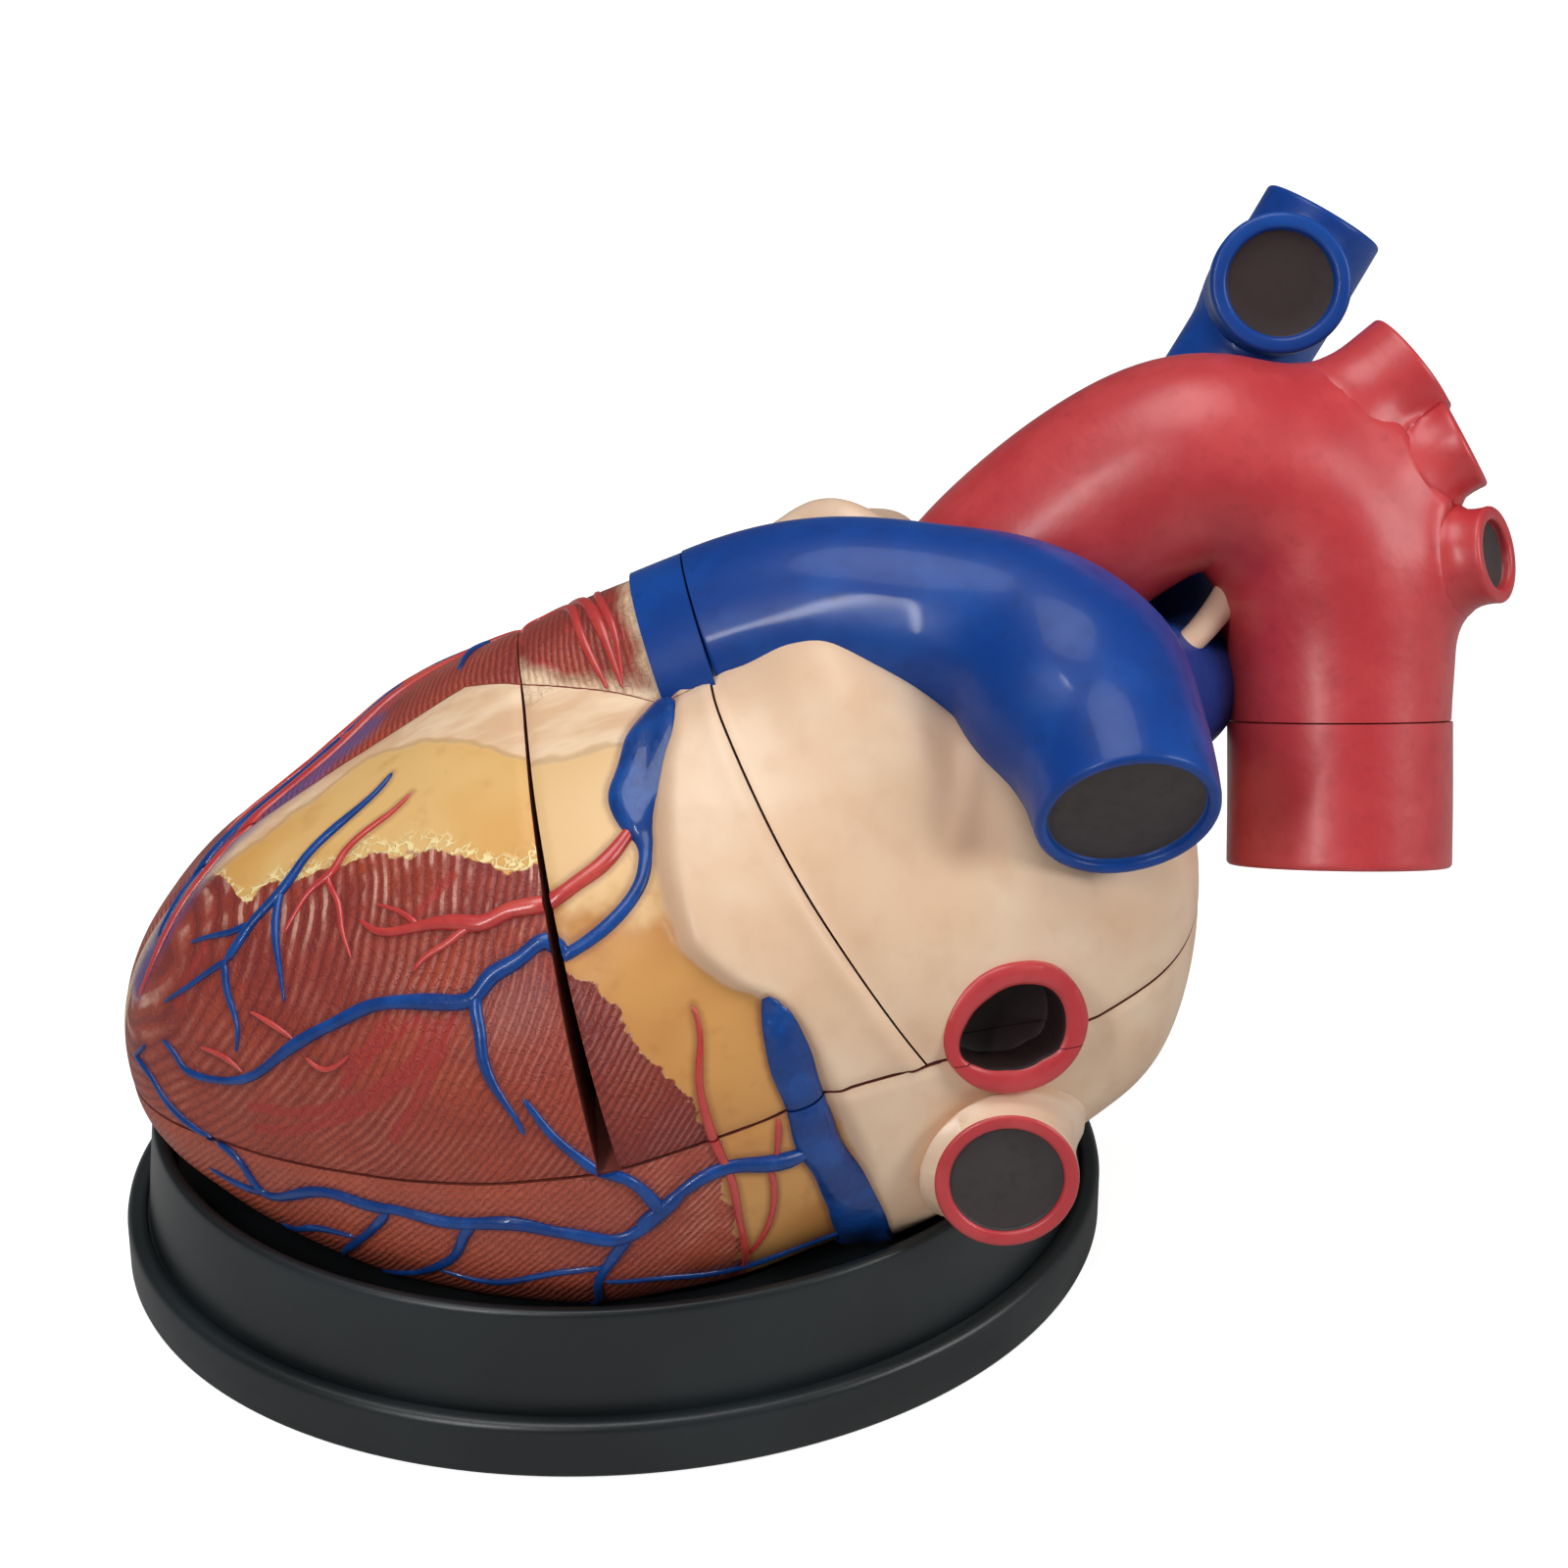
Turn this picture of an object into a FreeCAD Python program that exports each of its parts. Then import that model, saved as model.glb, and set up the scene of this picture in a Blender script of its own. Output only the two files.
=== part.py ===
import FreeCAD, Part
import math
import os

# Dissectible teaching heart lying on an oval stand.  Units are millimetres, +Z is up.
# +X runs from the apex to the great vessels, -Y is the patient's left side.

Vector = FreeCAD.Vector
os.makedirs("parts", exist_ok=True)

# ---- stand -------------------------------------------------------------------------
footLength, footDepth = 255.0, 218.0
ringHeight = 16.0
standHeight = 44.0
wallLength, wallDepth = 242.8, 207.4
rimDrawIn = 2.5
wallThickness = 3.6
ringUnderside = 0.8

# ---- heart body: x, centre y, centre z, half sizes front, back, top, bottom ----------
heartStations = [
    (-123.4, 0, 72, 7, 7, 7, 7),
    (-122.0, 0, 72, 14, 13, 14, 14),
    (-116.0, 0, 73, 27, 26, 26, 25),
    (-107.0, 0, 75, 39, 36, 36, 35),
    (-94.0, -1, 78, 53, 49, 46, 46),
    (-80.0, -1, 80, 66, 59, 54, 54),
    (-62.0, -2, 82, 79, 70, 63, 62),
    (-40.0, -3, 84, 90, 81, 72, 68),
    (-12.0, -3, 86, 97, 88, 79, 72),
    (15.0, -3, 88, 96, 91, 83, 74),
    (40.0, -4, 90, 88, 88, 82, 72),
    (65.0, -6, 94, 81, 81, 74, 68),
    (90.0, -10, 98, 72.5, 74, 66, 62),
    (110.0, -13, 101, 63, 66, 57, 56.5),
    (127.0, -16, 103, 50, 54, 46, 48.5),
    (139.0, -18, 105, 31, 34, 30, 30),
    (144.3, -18, 106, 10, 11, 10, 10),
]
topPower, bottomPower = 2.1, 2.6
sectionPoints = 28

# ---- cuts between the pieces ---------------------------------------------------------
pieceGap = 0.35                       # clearance left between pieces that come apart
apexSideNormal = Vector(0.96, -0.16, 0.25)      # cut between the ventricle walls and the base
apexSideOffset = 20.76
taperNormal = Vector(0.96, -0.16, 0.191)        # the left wall's face opens 5 mm at the front
taperOffset = 10.73
vesselSideNormal = Vector(0.84, -0.12, 0.54)    # cut between the base and the great vessels
vesselSideOffset = 113.2
rootNormal = Vector(0.93, -0.12, 0.30)          # faces of the ring at the root of the pulmonary trunk
rootOffsets = (61.5, 75.2)
partingLine = [(-220, 43.5), (40, 95.5), (105, 97.4), (260, 131)]          # x, z seen from the front
splitLine = [(-220, 8), (-34, 8), (-20, -3), (14, -25), (90, -12), (260, -12)]   # x, y from above

# ---- ways the loose pieces come off --------------------------------------------------
leftWallWay = Vector(-0.30, -0.10, 0.949)
rightWallWay = Vector(-0.27, 0.35, 0.897)
baseWallWay = Vector(-0.166, -0.9857, 0.03)
vesselWay = Vector(0.84, -0.12, 0.54)

# ---- chambers ------------------------------------------------------------------------
ventricleCentre = (-30.0, -3.0)
ventricleHalf = (74.0, 66.0)
septumFront, septumBack = 1.0, 15.0
atriumCentre = (95.0, -10.0)
atriumHalf = (36.0, 46.0)
atrialSeptumFront, atrialSeptumBack = -9.0, -3.0

# ---- great vessels: points on the centre line and radii -------------------------------
aortaPath = [(66.8, 8.6, 129.7), (87.1, 10.3, 146.5), (99.9, 11.5, 164.3), (113.7, 12.5, 177.7),
             (133.4, 12.2, 192.0), (154.0, 9.7, 199.6), (173.5, 5.3, 191.2), (184.9, -2.3, 174.3),
             (185.7, -11.8, 154.1), (183.7, -20.6, 138.3)]
aortaRadii = [27, 27, 27, 27, 27, 27, 28, 30, 28.8, 27.8]
collarPath = [(183.7, -20.6, 138.3), (182.0, -28.8, 122.1), (180.0, -37.1, 105.9)]
collarRadius = 27.8
conusPath = [(-38, 8, 126), (-18, 6, 142.5), (0, 4, 153.5), (19, 2, 163.5), (36, -3, 172.5)]
conusRadii = [24, 25.5, 25, 24, 23.5]
trunkPath = [(10, 3, 158.5), (19, 2, 163.5), (53, -8, 177.5), (75.7, -19, 177.5), (91, -31, 173.5),
             (105, -52, 166), (112, -84, 156)]
trunkRadii = [24, 24, 23.5, 23.5, 23.5, 24, 24.5]
rightArteryPath = [(112, -52, 160), (124, -40, 155), (138, -18, 149), (148, 8, 148), (158, 38, 152)]
rightArteryRadii = [16, 16.5, 15, 14.5, 15]
cavaPath = [(124, 36, 118), (140.4, 41.5, 151.5), (169.5, 57, 188.7), (205.5, 74, 234.5)]
cavaRadius = 16.6
cavaStubPath = [(189, 69, 216), (185.5, 53, 225), (183.2, 43.5, 230.2), (182, 38, 233.3)]
cavaStubRadii = [16, 16.6, 17.9, 18]
auricleCentre, auricleHalf = (66, 28, 162), (29, 20, 24.5)
leftAuriclePath = [(24.0, -14.2, 151.0), (34.0, -19.4, 157.7), (44.0, -22.8, 159.7), (54.0, -26.9, 157.8),
                   (66.0, -32.1, 152.6), (78.0, -38.9, 148.7), (89.0, -44.9, 143.6), (99.0, -44.1, 135.8)]
leftAuricleRadii = [11, 17, 20, 21, 21, 20, 17, 11]
mouthDepth = 2.6                      # the cut vessel ends are closed by a disc this far in


def closedCurve(points):
    curve = Part.BSplineCurve()
    curve.interpolate(points, PeriodicFlag=True)
    return Part.Wire([curve.toShape()])


def ring(centre, sideOne, sideTwo, halfOne, halfTwo, count=16):
    # An ellipse about a centre, drawn as one smooth closed curve.
    points = []
    for index in range(count):
        angle = 2 * math.pi * index / count
        points.append(centre + sideOne * (halfOne * math.cos(angle))
                      + sideTwo * (halfTwo * math.sin(angle)))
    return closedCurve(points)


def heartSection(station):
    # A four-part superellipse: each quarter has its own half sizes, the top its own power.
    x, centreY, centreZ, front, back, top, bottom = station
    points = []
    for index in range(sectionPoints):
        angle = 2 * math.pi * index / sectionPoints
        across, upward = math.cos(angle), math.sin(angle)
        side = front if across < 0 else back
        height = top if upward > 0 else bottom
        power = topPower if upward > 0 else bottomPower
        reach = (abs(across / side) ** power + abs(upward / height) ** power) ** (-1 / power)
        points.append(Vector(x, centreY + reach * across, centreZ + reach * upward))
    return closedCurve(points)


def loft(wires):
    return Part.makeLoft(wires, True, False)


def stack(levels):
    # Chamber walls as ovals laid over each other: x, y, z, half length, half depth.
    rings = []
    for x, y, z, halfLength, halfDepth in levels:
        rings.append(ring(Vector(x, y, z), Vector(1, 0, 0), Vector(0, 1, 0), halfLength, halfDepth, 20))
    return loft(rings)


def prism(outline, extent):
    return Part.Face(Part.makePolygon(outline + outline[:1])).extrude(extent)


def halfSpace(normal, offset):
    # A big block that fills the side where normal * point is below the offset.
    unit = Vector(normal).normalize()
    foot = unit * (offset / normal.Length)
    block = Part.makeBox(900, 900, 900, Vector(-450, -450, -900))
    block.Placement = FreeCAD.Placement(foot, FreeCAD.Rotation(Vector(0, 0, 1), unit))
    return block


def overParting(lift):
    outline = [Vector(x, -200, z + lift) for x, z in partingLine]
    outline += [Vector(260, -200, 400), Vector(-220, -200, 400)]
    return prism(outline, Vector(0, 400, 0))


def inFront(shift):
    outline = [Vector(x, y + shift, -60) for x, y in splitLine]
    outline += [Vector(260, -260, -60), Vector(-220, -260, -60)]
    return prism(outline, Vector(0, 0, 460))


def slab(frontY, backY):
    return Part.makeBox(600, backY - frontY, 500, Vector(-300, frontY, -50))


def tube(path, radii, count=14):
    # Round rings square to a smooth centre line, joined into one solid.
    line = Part.BSplineCurve()
    line.interpolate([Vector(*point) for point in path])
    if not isinstance(radii, (list, tuple)):
        radii = [radii] * len(path)
    knots = [line.parameter(Vector(*point)) for point in path]
    rings = []
    side = Vector(0.1, 0.6, 0.8)
    for index in range(count):
        where = line.FirstParameter + (line.LastParameter - line.FirstParameter) * index / (count - 1)
        along = Vector(*line.tangent(where)[0])
        side = (side - along * side.dot(along)).normalize()
        segment = 0
        while segment < len(knots) - 2 and where > knots[segment + 1]:
            segment += 1
        share = (where - knots[segment]) / (knots[segment + 1] - knots[segment])
        radius = radii[segment] + (radii[segment + 1] - radii[segment]) * min(1, max(0, share))
        rings.append(ring(line.value(where), side, along.cross(side), radius, radius, 12))
    return loft(rings)


def mouth(path, radius, depth):
    # A blind round bore in the far end of a tube.
    end, before = Vector(*path[-1]), Vector(*path[-2])
    line = Part.BSplineCurve()
    line.interpolate([Vector(*point) for point in path])
    inward = Vector(*line.tangent(line.LastParameter)[0]) * -1
    if (before - end).dot(inward) < 0:
        inward = inward * -1
    return Part.makeCylinder(radius, depth + 3, end - inward * 3, inward)


def rod(start, end, radius):
    way = Vector(*end) - Vector(*start)
    return Part.makeCylinder(radius, way.Length, Vector(*start), way)


def biggest(shape):
    # Booleans can leave crumbs beside the piece; the piece is the largest solid.
    return max(shape.Solids, key=lambda solid: solid.Volume)


def export(name, shape):
    shape.exportStep("parts/" + name + ".step")
    print(name, len(shape.Solids), round(shape.Volume / 1000.0, 2), "cm3", shape.isValid())


# ---- tools shared by the pieces ------------------------------------------------------
heart = loft([heartSection(station) for station in heartStations])
heart = heart.fuse(tube(leftAuriclePath, leftAuricleRadii, 16)).removeSplitter()
aboveLine = overParting(0)
aboveGap = overParting(pieceGap)
frontRegion = inFront(-0.2)
notBehind = inFront(0.2)
apexSide = halfSpace(apexSideNormal, apexSideOffset - 0.2)
baseSide = halfSpace(apexSideNormal, apexSideOffset + 0.2)
taperSide = halfSpace(taperNormal, taperOffset)
beforeVessels = halfSpace(vesselSideNormal, vesselSideOffset - 0.2)
beyondCut = halfSpace(vesselSideNormal, vesselSideOffset + 0.2)

centreX, centreY = ventricleCentre
halfX, halfY = ventricleHalf


def ventricleDome(inset):
    return stack([(centreX, centreY, 60, halfX - inset, halfY - inset),
                  (centreX, centreY, 92, (halfX - inset) * 0.99, (halfY - inset) * 0.99),
                  (centreX + 2, centreY, 112, (halfX - inset) * 0.90, (halfY - inset) * 0.88),
                  (centreX + 4, centreY, 128, (halfX - inset) * 0.72, (halfY - inset) * 0.68),
                  (centreX + 6, centreY, 138, (halfX - inset) * 0.50, (halfY - inset) * 0.46),
                  (centreX + 7, centreY, 143 - inset, (halfX - inset) * 0.28, (halfY - inset) * 0.26)])


dome = ventricleDome(0)
bowl = stack([(centreX, centreY, 110, halfX, halfY),
              (centreX, centreY, 80, halfX, halfY),
              (centreX, centreY, 62, halfX * 0.93, halfY * 0.93),
              (centreX, centreY, 48, halfX * 0.78, halfY * 0.78),
              (centreX, centreY, 38, halfX * 0.56, halfY * 0.56),
              (centreX, centreY, 34, halfX * 0.30, halfY * 0.30)])
atriumX, atriumY = atriumCentre
atriumHalfX, atriumHalfY = atriumHalf
atriumHollow = stack([(atriumX, atriumY, 60, atriumHalfX * 0.45, atriumHalfY * 0.45),
                      (atriumX, atriumY, 66, atriumHalfX * 0.80, atriumHalfY * 0.80),
                      (atriumX, atriumY, 80, atriumHalfX, atriumHalfY),
                      (atriumX, atriumY, 108, atriumHalfX, atriumHalfY),
                      (atriumX, atriumY, 122, atriumHalfX * 0.82, atriumHalfY * 0.80),
                      (atriumX, atriumY, 130, atriumHalfX * 0.45, atriumHalfY * 0.42)])
atriumHollow = atriumHollow.cut(slab(atrialSeptumFront, atrialSeptumBack))
baseHollow = loft([ring(Vector(x, y, z), Vector(1, 0, 0), Vector(0, 0, 1), halfLength, halfHeight)
                   for x, y, z, halfLength, halfHeight in
                   [(16, 10, 94, 30, 33), (16, -30, 94, 29, 31), (15, -52, 92, 23, 25),
                    (14, -66, 90, 13, 15)]])
conusTube = tube(conusPath, conusRadii)
outflow = tube([(-8, 42, 88), (-2, 30, 112), (8, 13, 140), (19, 2, 163.5), (36, -3, 172.5)],
               [17, 17, 16, 15, 15])
aorticChannel = rod((4, -30, 99), (66, 9, 130), 13)

# ---- lower half of the heart -----------------------------------------------------------
mitralCentre, tricuspidCentre = (41, -34, 70), (41, 40, 72)
mitralHole = rod((18, -34, 70), (76, -34, 70), 15)
tricuspidHole = rod((18, 40, 72), (78, 32, 72), 15)


def papillary(base, tip, baseRadius, tipRadius):
    way = Vector(*tip) - Vector(*base)
    cone = Part.makeCone(baseRadius, tipRadius, way.Length, Vector(*base), way)
    return cone.fuse(Part.makeSphere(tipRadius, Vector(*tip))).removeSplitter()


leftPapillary = [papillary((-50, -22, 30), (-26, -24, 62), 10, 4),
                 papillary((-22, -50, 36), (-4, -46, 64), 9, 4)]
rightPapillary = [papillary((-44, 40, 32), (-22, 42, 60), 8, 3.5),
                  papillary((-14, 28, 30), (-2, 32, 58), 8, 3.5)]

backShell = heart.cut(aboveLine)
backShell = backShell.cut(bowl.cut(slab(septumFront, septumBack)))
backShell = backShell.cut(atriumHollow).cut(mitralHole).cut(tricuspidHole)


def valve(centre, axis, outer, inner, tipRadius, reach, slots):
    # A ring with a thin cone of leaflets; radial slots part the leaflets from each other.
    axis = Vector(*axis).normalize()
    centre = Vector(*centre)
    body = Part.makeCylinder(outer, 7, centre, axis).cut(Part.makeCylinder(inner, 7, centre, axis))
    cone = Part.makeCone(inner + 1.2, tipRadius + 1.2, reach, centre + axis * 2, axis)
    cone = cone.cut(Part.makeCone(inner, tipRadius, reach, centre + axis * 2, axis))
    aside = axis.cross(Vector(0, 0.2, 1)).normalize()
    for index in range(slots):
        blade = Part.makeBox(outer * 2, 1.4, reach + 6, Vector(0, -0.7, 9))
        blade.rotate(Vector(0, 0, 0), Vector(0, 0, 1), 360.0 * index / slots + 20)
        turn = FreeCAD.Rotation(aside, axis.cross(aside), axis, "ZXY")
        blade.Placement = FreeCAD.Placement(centre, turn).multiply(blade.Placement)
        cone = cone.cut(blade)
    return body.fuse(cone).removeSplitter()


mitralValve = valve((45, -34, 70), (-1, 0, 0), 15, 12, 5, 19, 2)
tricuspidValve = valve((45, 36.4, 72), (-60, 8, 0), 15, 12, 5, 19, 3)

chordae = []
for start, ends in [((-26, -24, 62), [(25, -30, 74), (25, -28, 69), (26, -30, 64)]),
                    ((-4, -46, 64), [(25, -38, 75), (25, -40, 70), (26, -38, 65)]),
                    ((-22, 42, 60), [(25, 41, 77), (26, 43, 72)]),
                    ((-2, 32, 58), [(25, 37, 66), (26, 34, 70)])]:
    for end in ends:
        chordae.append(rod(start, end, 0.7))
solidTools = leftPapillary + rightPapillary + [mitralValve, tricuspidValve]
for tool in solidTools:
    chordae = [biggest(cord.cut(tool)) for cord in chordae]

for cone in leftPapillary + rightPapillary:
    backShell = backShell.cut(cone)

# ---- pieces over the parting line -------------------------------------------------------
beforeTrunk = halfSpace(rootNormal, rootOffsets[1] - 0.2)
heartWithConus = heart.fuse(conusTube.common(beforeTrunk))
upper = heart.common(aboveGap)
upperWithConus = heartWithConus.common(aboveGap)

leftWall = upper.common(taperSide).common(frontRegion).cut(dome)
rightWall = upperWithConus.common(apexSide).cut(notBehind).cut(dome)
baseWall = upper.cut(baseSide).common(beforeVessels).common(frontRegion).cut(baseHollow)
conusBlock = heartWithConus.common(aboveLine).cut(baseSide).common(beforeVessels).cut(notBehind)
conusBlock = conusBlock.cut(outflow).cut(aorticChannel)
ringCut = halfSpace(rootNormal, rootOffsets[0])
rootRing = conusTube.cut(ringCut).common(beforeTrunk).cut(heart).cut(outflow)
conusBlock = conusBlock.cut(rootRing)
septum = ventricleDome(0.6).common(aboveLine).common(slab(septumFront, septumBack))
septum = septum.common(halfSpace(apexSideNormal, apexSideOffset - 0.8))
atriaRoof = upper.cut(beyondCut).cut(atriumHollow)

pulmonaryValve = valve((8, 6.5, 153.5), (17, -7, 17), 15.0, 12.2, 4, 12, 3)
aorticValve = valve((34, -11, 114), (62, 39, 31), 13, 10.5, 3.5, 10, 3)
conusBlock = conusBlock.cut(pulmonaryValve).cut(aorticValve)
aorticWay = Vector(62, 39, 31).normalize()
aorticSeat = Part.makeCylinder(13.5, 9.0, Vector(34, -11, 114) - aorticWay, aorticWay)
baseWall = baseWall.cut(aorticSeat)
rootRing = rootRing.cut(pulmonaryValve)

# ---- great vessels ----------------------------------------------------------------------
aortaSolid = tube(aortaPath, aortaRadii, 20)
collarSolid = tube(collarPath, collarRadius, 5)
trunkSolid = tube(trunkPath, trunkRadii, 16).cut(halfSpace(rootNormal, rootOffsets[1] + 0.2))
rightArterySolid = tube(rightArteryPath, rightArteryRadii)
cavaSolid = tube(cavaPath, cavaRadius)
cavaStubSolid = tube(cavaStubPath, cavaStubRadii, 7)

pulmonaryTrunk = biggest(trunkSolid.cut(heart))
pulmonaryTrunk = pulmonaryTrunk.cut(mouth(trunkPath, 21.0, mouthDepth))
superiorCava = biggest(cavaSolid.cut(heart).cut(mouth(cavaPath, 13.6, mouthDepth)))
rightArtery = biggest(rightArterySolid.cut(heart).cut(trunkSolid).cut(cavaSolid))
aorticArch = biggest(aortaSolid.cut(heart).cut(trunkSolid).cut(rightArterySolid))
cavaStub = biggest(cavaStubSolid.cut(cavaSolid).cut(mouth(cavaStubPath, 13.6, mouthDepth)))
collar = collarSolid.cut(mouth(collarPath, 23.5, 24)).cut(aorticArch)
rightAuricle = Part.makeSphere(1.0)
stretch = FreeCAD.Matrix()
stretch.scale(*auricleHalf)
rightAuricle = rightAuricle.transformGeometry(stretch)
rightAuricle.translate(Vector(*auricleCentre))
rightAuricle = biggest(rightAuricle.cut(beyondCut).cut(heart).cut(trunkSolid).cut(aortaSolid))

branches = {
    "brachiocephalic_artery": ([(170, 6, 190), (190, 11, 205), (210, 14.5, 218.6)],
                               [16, 14.6, 14.6], 11.4),
    "left_carotid_artery": ([(180, 2, 183), (199, 0, 193), (218.7, -2.7, 204)], [14, 11, 12], 9.0),
    "left_subclavian_artery": ([(184, -3, 165), (201, -10.5, 173.5), (220.8, -24, 183)],
                               [19, 10, 12.2], 8.7),
}
branchPieces = {}
taken = [aortaSolid]
for name, (path, radii, boreRadius) in branches.items():
    piece = tube(path, radii, 9)
    for other in taken:
        piece = piece.cut(other)
    taken.append(tube(path, radii, 9))
    branchPieces[name] = biggest(piece.cut(mouth(path, boreRadius, mouthDepth)))

ligament = rod((160, -14, 167), (117, -52, 185), 3.6)
ligament = biggest(ligament.cut(aortaSolid).cut(trunkSolid).cut(rightArterySolid))

# ---- vein stubs on the atria ---------------------------------------------------------------
upperVeinPath = [(83.5, -50, 96.5), (82, -70, 98.8), (82.2, -88.8, 103.2)]
lowerVeinPath = [(86, -56, 66), (81.5, -80, 64.2), (77.6, -99.4, 67.2)]
upperVein = tube(upperVeinPath, 17.5, 5).cut(heart).cut(mouth(upperVeinPath, 12.8, 12))
upperVeinBore = mouth(upperVeinPath, 12.8, 16)
backShell = backShell.cut(upperVeinBore)
atriaRoof = atriaRoof.cut(upperVeinBore)
upperVeinCap = biggest(upperVein.common(aboveGap))
upperVeinBase = biggest(upperVein.cut(aboveLine))
lowerVein = biggest(tube(lowerVeinPath, [18, 17, 17], 5).cut(heart).cut(upperVeinBase))
lowerVein = lowerVein.cut(mouth(lowerVeinPath, 13.2, mouthDepth))
rightVeins = []
for path in ([(104, 30, 86), (107, 55, 84), (110, 72, 82)], [(82, 40, 78), (81, 64, 76), (80, 84, 74)]):
    stub = tube(path, 13, 5).cut(heart).cut(mouth(path, 9.6, mouthDepth))
    rightVeins.append(biggest(stub))
lowerCavaPath = [(58, 50, 68), (53, 76, 65), (49, 96, 63)]
lowerCava = biggest(tube(lowerCavaPath, [17, 15.5, 15.5], 5).cut(heart).cut(mouth(lowerCavaPath, 12, mouthDepth)))
rightVeins = [biggest(stub.cut(lowerCava)) for stub in rightVeins]

# ---- stand -----------------------------------------------------------------------------------
def ovalPlate(halfLength, halfDepth, z):
    return ring(Vector(0, 0, z), Vector(1, 0, 0), Vector(0, 1, 0), halfLength, halfDepth, 24)


footX, footY = footLength / 2, footDepth / 2
wallX, wallY = wallLength / 2, wallDepth / 2
foot = Part.makeLoft([ovalPlate(footX, footY, ringUnderside), ovalPlate(footX, footY, ringHeight - 1.5),
                      ovalPlate(footX - 1.5, footY - 1.5, ringHeight)], True, True)
drawn = rimDrawIn
wall = Part.makeLoft([ovalPlate(wallX, wallY, ringHeight - 6), ovalPlate(wallX, wallY, ringHeight),
                      ovalPlate(wallX - drawn, wallY - drawn, standHeight - 1.2),
                      ovalPlate(wallX - drawn - 1, wallY - drawn - 1, standHeight)], True, True)
well = Part.makeLoft([ovalPlate(wallX - wallThickness, wallY - wallThickness, 4),
                      ovalPlate(wallX - drawn - wallThickness, wallY - drawn - wallThickness,
                                standHeight + 2)], True, True)
plateX, plateY = wallX + 1.5, wallY + 1.5
plateSeat = Part.makeLoft([ovalPlate(plateX + 0.2, plateY + 0.2, -2),
                           ovalPlate(plateX + 0.2, plateY + 0.2, 4)], True, True)
standBody = foot.fuse(wall).cut(well).cut(plateSeat)
bottomPlate = Part.makeLoft([ovalPlate(plateX, plateY, ringUnderside), ovalPlate(plateX, plateY, 4)],
                            True, True)
cradleX, cradleY = wallX - wallThickness - 4.5, wallY - wallThickness - 4.5
cradle = Part.makeLoft([ovalPlate(cradleX, cradleY, 4), ovalPlate(cradleX, cradleY, 31)], True, True)
cradle = cradle.cut(heart)

plateScrewSpots = [(-84, -62), (-84, 62), (84, -62), (84, 62)]
plateScrews = []
for x, y in plateScrewSpots:
    hole = rod((x, y, -2), (x, y, 16), 2.0)
    sink = rod((x, y, -2), (x, y, 2.6), 4.2)
    bottomPlate = bottomPlate.cut(rod((x, y, -2), (x, y, 5), 2.2)).cut(sink)
    cradle = cradle.cut(hole)
    screw = rod((x, y, 2.6), (x, y, 15), 2.0).fuse(rod((x, y, 1.0), (x, y, 2.6), 3.8)).removeSplitter()
    slot = Part.makeBox(5.6, 0.9, 0.7, Vector(x - 2.8, y - 0.45, 0.9))
    plateScrews.append(screw.cut(slot))

heartScrewSpots = [(-48, 8), (28, 40), (28, -36)]
heartScrews = []
for x, y in heartScrewSpots:
    bottomPlate = bottomPlate.cut(rod((x, y, -2), (x, y, 5), 3.2)).cut(rod((x, y, -2), (x, y, 2.4), 5.6))
    cradle = cradle.cut(rod((x, y, 3), (x, y, 34), 3.2))
    backShell = backShell.cut(rod((x, y, 5), (x, y, 30), 3.0))
    screw = rod((x, y, 2.4), (x, y, 29), 3.0).fuse(rod((x, y, 1.0), (x, y, 2.4), 5.2)).removeSplitter()
    slot = Part.makeBox(7.6, 1.1, 0.6, Vector(x - 3.8, y - 0.55, 0.9))
    heartScrews.append(screw.cut(slot))

footSpots = [(-92, -36), (-92, 36), (92, -36), (92, 36), (0, 0)]
rubberFeet = []
for x, y in footSpots:
    bottomPlate = bottomPlate.cut(rod((x, y, 0), (x, y, 1.6), 7.0))
    rubberFeet.append(rod((x, y, 0), (x, y, 1.6), 7.0))

# ---- locating pegs and magnets ---------------------------------------------------------------
pegRadius, pegLength = 3.0, 7.0
socketClearance = 0.35


def partingHeight(x):
    for (xOne, zOne), (xTwo, zTwo) in zip(partingLine, partingLine[1:]):
        if x <= xTwo:
            return zOne + (x - xOne) * (zTwo - zOne) / (xTwo - xOne)
    return partingLine[-1][1]


def splitDepth(x):
    for (xOne, yOne), (xTwo, yTwo) in zip(splitLine, splitLine[1:]):
        if x <= xTwo:
            return yOne + (x - xOne) * (yTwo - yOne) / (xTwo - xOne)
    return splitLine[-1][1]


def vesselFaceX(y, z):
    normal = vesselSideNormal
    return (vesselSideOffset - normal.y * y - normal.z * z) / normal.x


def peg(point, way, radius, back, reach):
    start = point - way * back
    return Part.makeCylinder(radius, back + reach, start, way)


pegs = []
for x, y in [(-96, -42), (-34, -82)]:
    spot = Vector(x, y, partingHeight(x))
    pegs.append(peg(spot, leftWallWay, pegRadius, 7, pegLength))
    backShell = backShell.cut(pegs[-1])
    leftWall = leftWall.cut(peg(spot, leftWallWay, pegRadius + socketClearance, 7, pegLength + 1.5))
for x, y in [(-96, 36), (-34, 70.5)]:
    spot = Vector(x, y, partingHeight(x))
    pegs.append(peg(spot, rightWallWay, pegRadius, 7, pegLength))
    backShell = backShell.cut(pegs[-1])
    rightWall = rightWall.cut(peg(spot, rightWallWay, pegRadius + socketClearance, 7, pegLength + 1.5))
for x, z in [(53, 112), (-6, 138)]:
    spot = Vector(x, splitDepth(x), z)
    pegs.append(peg(spot, baseWallWay, pegRadius, 8, pegLength))
    conusBlock = conusBlock.cut(pegs[-1])
    baseWall = baseWall.cut(peg(spot, baseWallWay, pegRadius + socketClearance, 8, pegLength + 1.5))
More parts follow.
